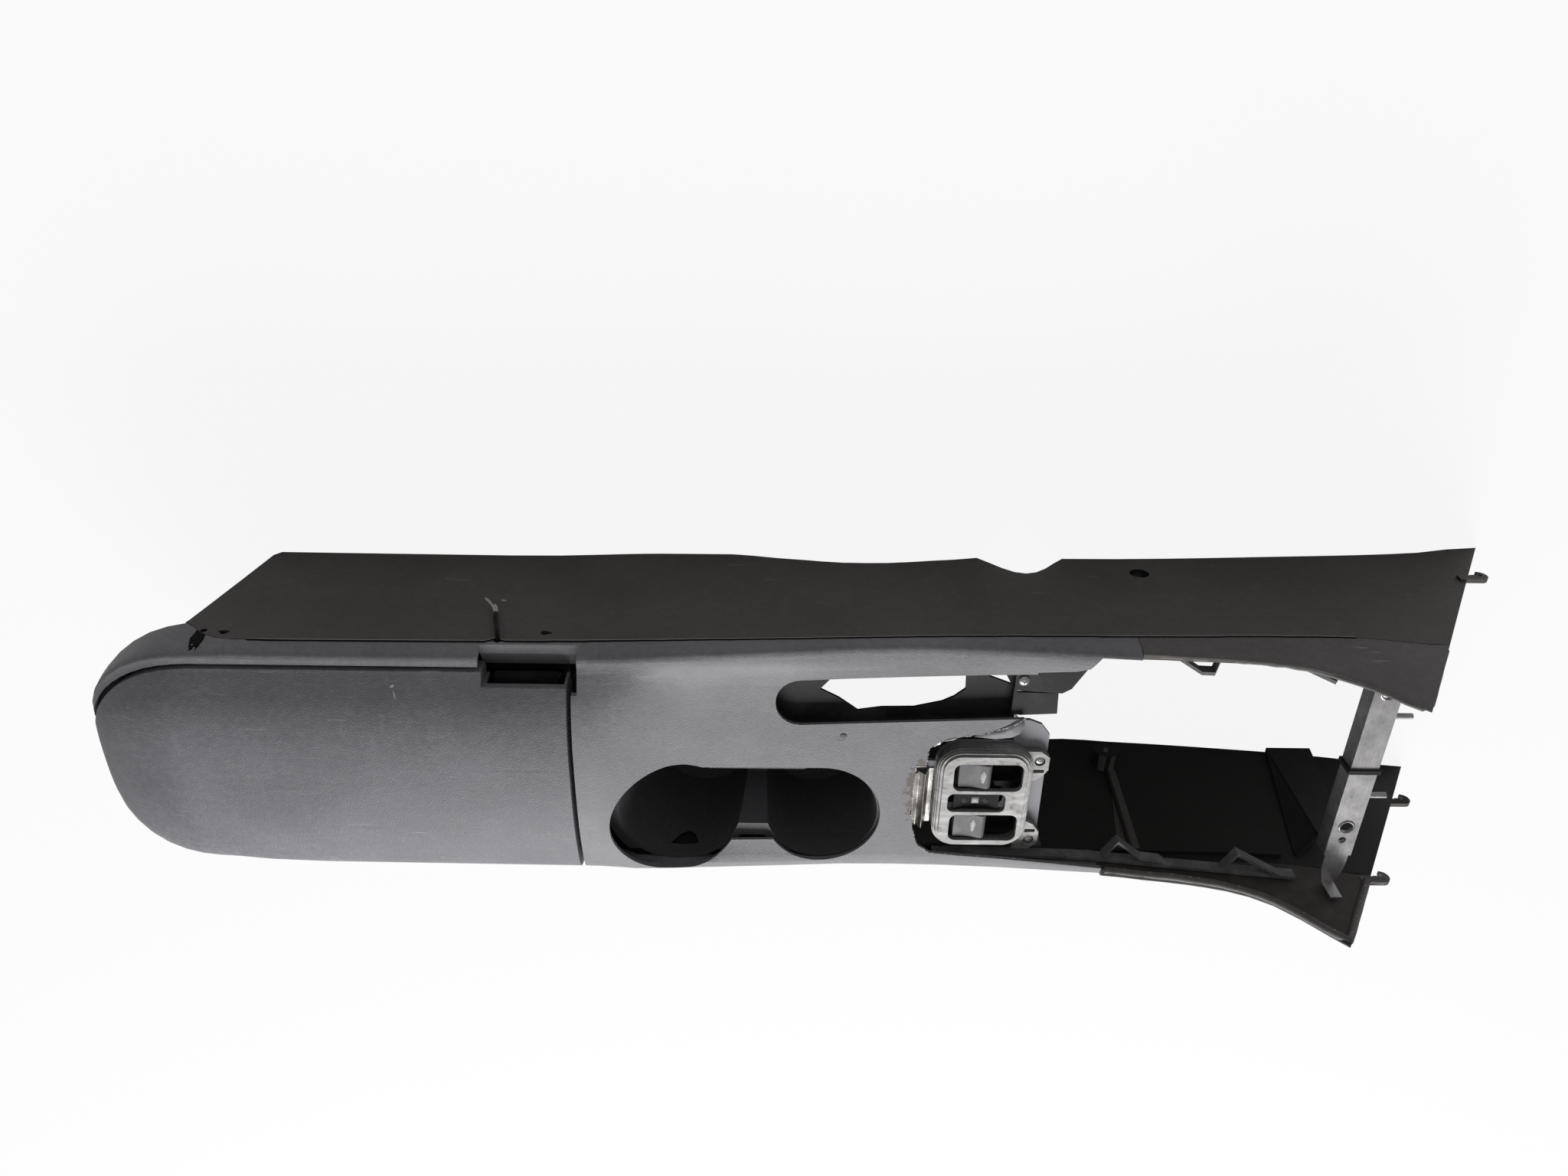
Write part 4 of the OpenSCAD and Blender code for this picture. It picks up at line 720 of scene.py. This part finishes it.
class CONSOLE_OT_lamp_lead(bpy.types.Operator):
    """Makes the twin lead that hangs out of the seam beside the armrest, with its bared ends"""

    bl_idname = "console.lamp_lead"
    bl_label = "Lamp lead"

    def execute(self, context):
        width = context.scene.console_detail.lead_width
        route = curve_points([Vector(v) * MM for v in LEAD_ROUTE], 0.001)
        jacket = [v for v in route if v.z > JACKET_END * MM or v.y < PAST_SIDE * MM]
        wire = width * WIRE_SHARE
        bm = bmesh.new()
        for side in (-1, 1):
            add_tube(bm, [v + Vector((side * (width / 2 - wire), 0, 0)) for v in jacket], wire, 14)
        lead = piece_from(bm, "lamp_lead_wire", "jacket", "console", 60)
        bm = bmesh.new()
        bare = route[len(jacket) - 3 :]
        for side, share in ((-1, 1.0), (1, 0.55)):
            end = bare[: max(3, round(len(bare) * share))]
            for k in range(STRANDS):
                turn = []
                for i, v in enumerate(end):
                    a = i * STRAND_WIND + k * STRAND_SPREAD
                    # The two wires splay apart towards their ends
                    apart = Vector((side * (width / 2 - wire), 0, 0)) * (1 + 0.5 * i / len(end))
                    turn.append(v + apart + Vector((math.cos(a), math.sin(a), 0)) * STRAND_OFFSET * MM)
                add_tube(bm, turn, STRAND_RADIUS * MM, 6)
        strands = piece_from(bm, "lamp_lead_strands", "copper", "console", 60)
        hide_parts("lamp_lead")
        return {"FINISHED"}


class CONSOLE_OT_shells(bpy.types.Operator):
    """Dresses the trim, the lid and the wall panels with rounded, grained skins"""

    bl_idname = "console.shells"
    bl_label = "Shell mouldings"

    def execute(self, context):
        width = context.scene.console_detail.edge_round / MM
        skin_over("upper_trim", "deck", width)
        skin_over("armrest_lid", "lid", width)
        skin_over("left_side_panel", "panel", width, inner="inside", bead=0.002)
        skin_over("right_side_panel", "panel", width, inner="inside", bead=0.002)
        skin_over("rear_panel", "panel", width)
        skin_over("front_trim_left", "flare", width, inner="trim inside")
        skin_over("front_trim_right", "flare", width, inner="trim inside")
        return {"FINISHED"}


class CONSOLE_OT_insides(bpy.types.Operator):
    """Dresses the wells, the slot liner, the bin and the clip rails"""

    bl_idname = "console.insides"
    bl_label = "Wells, liner and bin"

    def execute(self, context):
        skin_over("cup_insert", "cup", 1.2)
        skin_over("brake_slot_liner", "liner", 0.6)
        skin_over("storage_bin", "black", 0.8)
        skin_over("left_clip_rail", "rail", 0.5)
        skin_over("right_clip_rail", "rail", 0.5)
        skin_over("gusset_panel", "black", 0.5)
        skin_over("lid_inner_panel", "black", 0.5)
        dress("lid_buffers", "rubber")
        return {"FINISHED"}


class CONSOLE_OT_hinge_latch(bpy.types.Operator):
    """Dresses the lid's hinge and its latch"""

    bl_idname = "console.hinge_latch"
    bl_label = "Lid hinge and latch"

    def execute(self, context):
        for node in ("lid_hinge_leaf", "fixed_hinge_leaf", "hinge_pin", "latch_striker", "latch_pin"):
            dress(node, "steel")
        skin_over("latch_lever", "black", 0.5)
        return {"FINISHED"}


class CONSOLE_OT_switch(bpy.types.Operator):
    """Dresses the window switch, its rockers, carrier, screws and retaining clip"""

    bl_idname = "console.switch"
    bl_label = "Window switch"

    def execute(self, context):
        skin_over("switch_bezel", "lacquer", 1.0, segments=3)
        skin_over("switch_body", "black", 0.4)
        skin_over("switch_carrier", "pale", 0.5)
        skin_over("left_window_rocker", "rocker", 0.8, segments=3)
        skin_over("right_window_rocker", "rocker", 0.8, segments=3)
        skin_over("window_lock_rocker", "lock", 0.5, segments=3)
        skin_over("retaining_clip", "bright", 0.2)
        dress("switch_screws", "steel")
        dress("liner_screw", "steel")
        return {"FINISHED"}


def ring_on(node, x, y, radius, wire, name, finish):
    """A raised round rim that stands on the top face of a node, in millimetres."""
    tree = surface_of(node)
    hit = tree.ray_cast(Vector((x + radius + 1, y, 190)) * MM, Vector((0, 0, -1)), 0.1)[0]
    centre = Vector((x, y, 0)) * MM + Vector((0, 0, hit.z))
    bm = bmesh.new()
    section = Matrix.Translation(centre + Vector((radius * MM, 0, 0))) @ Matrix.Rotation(math.pi / 2, 4, "X")
    made = bmesh.ops.create_circle(bm, segments=10, radius=wire * MM, matrix=section)
    bmesh.ops.spin(
        bm, geom=made["verts"] + bm.edges[:], cent=centre, axis=(0, 0, 1), angle=2 * math.pi, steps=28,
        use_merge=True,
    )
    bmesh.ops.recalc_face_normals(bm, faces=bm.faces)
    return piece_from(bm, name, finish, "console", 60)


class CONSOLE_OT_bracket(bpy.types.Operator):
    """Dresses the steel bracket across the front, its lapped plate, pins and tie"""

    bl_idname = "console.bracket"
    bl_label = "Front bracket"

    def execute(self, context):
        skin_over("front_bracket", "steel", 0.4)
        skin_over("bracket_plate", "steel", 0.3)
        dress("bracket_pins", "steel")
        skin_over("bracket_tie", "black", 0.3)
        ring_on("front_bracket", 345.5, 67, 4.6, 0.8, "left_bolt_rim", "bright")
        ring_on("front_bracket", 345.5, -38, 4.6, 0.8, "right_bolt_rim", "bright")
        return {"FINISHED"}


# Heights near which the deck's broken edge and its torn strip lie, in millimetres
TORN_Z = 127
TONGUE_Z = 126.2
# The broken edge of the deck round the switch, in millimetres, found again on the trim's own mesh
TORN_EDGE = [
    (129.3, 36.6), (125.1, 31.1), (119.2, 26.1), (103.3, 22.8), (93.6, 21.7), (79.3, 18.1), (70.1, 11.3),
    (69.6, -2.9), (62.9, -2.0), (64.9, -6.1), (62.1, -24.9), (61.6, -42.0), (68.3, -52.8), (65.4, -59.4),
    (67.8, -68.3), (76.9, -74.9), (97.8, -76.8), (139.6, -79.6), (195.9, -84.5),
]
# A torn strip of the deck that still hangs beside the switch
TONGUE = [
    (98, 21.6), (111.2, 26.9), (118, 30.5), (123, 34.5), (128, 36.4), (129.2, 31), (126.5, 24), (122, 21.4),
    (112, 20),
]


class CONSOLE_OT_wear(bpy.types.Operator):
    """Makes the broken edges and chips that show use, a painted shadow and a painted highlight along the
    seam, and black sheets painted as the shadow in the clip holes and the tail slot
    """

    bl_idname = "console.wear"
    bl_label = "Broken edges and wear"

    def execute(self, context):
        draw = random.Random(11)
        tree = surface_of("upper_trim")
        line = [tree.find_nearest(Vector((x, y, TORN_Z)) * MM)[0] for x, y in TORN_EDGE]
        bm = bmesh.new()
        flakes_along(bm, line[:6], 0.95, 1.9, 0.8, draw, -0.3)
        flakes_along(bm, line[5:16], 0.6, 1.3, 0.7, draw, -0.2)
        flakes_along(bm, line[:16], 0.6, 1.2, 0.6, draw, 0.8)
        flakes_along(bm, line[15:], 0.3, 1.1, 0.4, draw, -0.1)
        bmesh.ops.recalc_face_normals(bm, faces=bm.faces)
        piece_from(bm, "broken_edge_flakes", "break", "console", 20)

        seam = top_edge("left_side_panel", True, -350, 330)
        # A black tube above the wall's top edge is painted shadow in the seam's gap
        bm = bmesh.new()
        add_tube(bm, [v + Vector((0, 0.0001, 0.0009)) for v in seam], 0.55 * MM, 6)
        piece_from(bm, "seam_painted_shadow", "gap", "console", 60)
        # A pale tube just under the wall's top edge is a painted highlight, where its rounded edge catches
        # the light
        bm = bmesh.new()
        add_tube(bm, [v + Vector((0, 0, -0.0003)) for v in seam], 0.45 * MM, 6)
        piece_from(bm, "seam_painted_highlight", "rubbed", "console", 60)

        for name, node, left, reach, inset in (
            ("right_trim_bead", "front_trim_right", False, (178, 398), 2.6),
            ("left_trim_bead", "front_trim_left", True, (180, 392), 1.6),
        ):
            inward = -1 if left else 1
            edge = [v + Vector((0, inward * inset, -inset)) * MM for v in top_edge(node, left, *reach)]
            bm = bmesh.new()
            add_tube(bm, edge, inset * MM, 12)
            piece_from(bm, name, "flare", "console", 60)
            bm = bmesh.new()
            lip = [v + Vector((0, inward * inset, 0)) * MM for v in edge]
            flakes_along(bm, lip, 0.1, 1.2, 0.4, draw)
            bmesh.ops.recalc_face_normals(bm, faces=bm.faces)
            piece_from(bm, name + "_chips", "break", "console", 20)

        bm = bmesh.new()
        bm.faces.new([bm.verts.new(Vector((x, y, TONGUE_Z)) * MM) for x, y in TONGUE])
        bmesh.ops.triangulate(bm, faces=bm.faces)
        tongue = piece_from(bm, "torn_tongue", "deck", "console", 60)
        tongue.modifiers.new("Thickness", "SOLIDIFY").thickness = 1.2 * MM

        # A height of 150 or a side of 90 only sets where an outline is cast from
        plate_on(
            "window_lock_rocker", [(102.3, -36, 150), (107, -36, 150), (107, -31, 150), (102.3, -31, 150)],
            (0, 0, -1), "lock_tile", "tile", "lock_rocker", 0.1, 1,
        )
        for x in (97.6, 111.4):
            plate_on(
                "window_lock_rocker", oval(x, -33.5, 150, 4.4, 4.4), (0, 0, -1), f"lock_dimple_{x:.0f}",
                "dimple", "lock_rocker", 0.05, 1,
            )
        # Pale worn patches on the rockers' tops, painted brighter as their highlight too
        for name, body, x, y in (
            ("left_window_rocker", "left_rocker", 107.6, -12.5),
            ("right_window_rocker", "right_rocker", 104.6, -53.5),
        ):
            mark = [
                (x + 1.8 * math.cos(a) * (1 + 0.25 * math.sin(3 * a)), y + 5.2 * math.sin(a), 150)
                for a in (2 * math.pi * k / 14 for k in range(14))
            ]
            plate_on(name, mark, (0, 0, -1), name + "_worn_highlight", "tile", body, 0.05, 1)

        # The clip holes in the wall and the slot at the tail are not cut: black sheets laid on the surface
        # are painted as the shadow inside them
        for name, spot in (
            ("wall_dark_mark_a", oval(-170.5, 90, 112.5, 7, 2.6, 0, upright=True)),
            ("wall_dark_mark_b", oval(-367.9, 90, 113.6, 7, 2.6, 0.0, upright=True)),
            ("tail_slot", [(-376, 90, 109.7), (-380, 90, 109.5), (-384.6, 90, 113), (-386, 90, 120.5),
                           (-382, 90, 135), (-378.5, 90, 134.5), (-381, 90, 121), (-380.5, 90, 114)]),
        ):
            node = "upper_trim" if name == "tail_slot" else "left_side_panel"
            plate_on(node, spot, (0, -1, 0), name, "gap")
        chip = oval(-205.7, 90, 69, 3.6, 1.6, 0.3, 8, True)
        plate_on("left_side_panel", chip, (0, -1, 0), "wall_chip", "break")
        plate_on("upper_trim", oval(15, 21, 130, 4.6, 3.6), (0, 0, -1), "deck_spot", "panel", cuts=2)
        for name, spot in (
            ("lid_chip", oval(-261, 63, 150, 2.6, 1.8, 0.4, 8)),
            ("lid_scratch", oval(-259.6, 58, 150, 5, 0.8, -1.3, 8)),
        ):
            plate_on("armrest_lid", spot, (0, 0, -1), name, "break", "lid")
        return {"FINISHED"}


class CONSOLE_PT_panel(bpy.types.Panel):
    """Lists the steps that build the console"""

    bl_idname = "CONSOLE_PT_panel"
    bl_label = "Centre console"
    bl_space_type = "VIEW_3D"
    bl_region_type = "UI"
    bl_category = "Console"

    def draw(self, context):
        column = self.layout.column()
        for step in STEPS:
            column.operator(step.bl_idname)


STEPS = (
    CONSOLE_OT_stage,
    CONSOLE_OT_lamp_lead,
    CONSOLE_OT_shells,
    CONSOLE_OT_insides,
    CONSOLE_OT_hinge_latch,
    CONSOLE_OT_switch,
    CONSOLE_OT_bracket,
    CONSOLE_OT_wear,
)
CLASSES = (ConsoleStudioSettings, ConsoleDetailSettings, *STEPS, CONSOLE_PT_panel)


def register():
    for cls in CLASSES:
        bpy.utils.register_class(cls)
    bpy.types.Scene.console_studio = PointerProperty(type=ConsoleStudioSettings)
    bpy.types.Scene.console_detail = PointerProperty(type=ConsoleDetailSettings)


def unregister():
    del bpy.types.Scene.console_detail
    del bpy.types.Scene.console_studio
    for cls in reversed(CLASSES):
        bpy.utils.unregister_class(cls)


def main():
    """Builds the console step by step."""
    register()
    make_finishes()
    for step in STEPS:
        group, name = step.bl_idname.split(".")
        getattr(getattr(bpy.ops, group), name)()


if __name__ == "__main__":
    main()
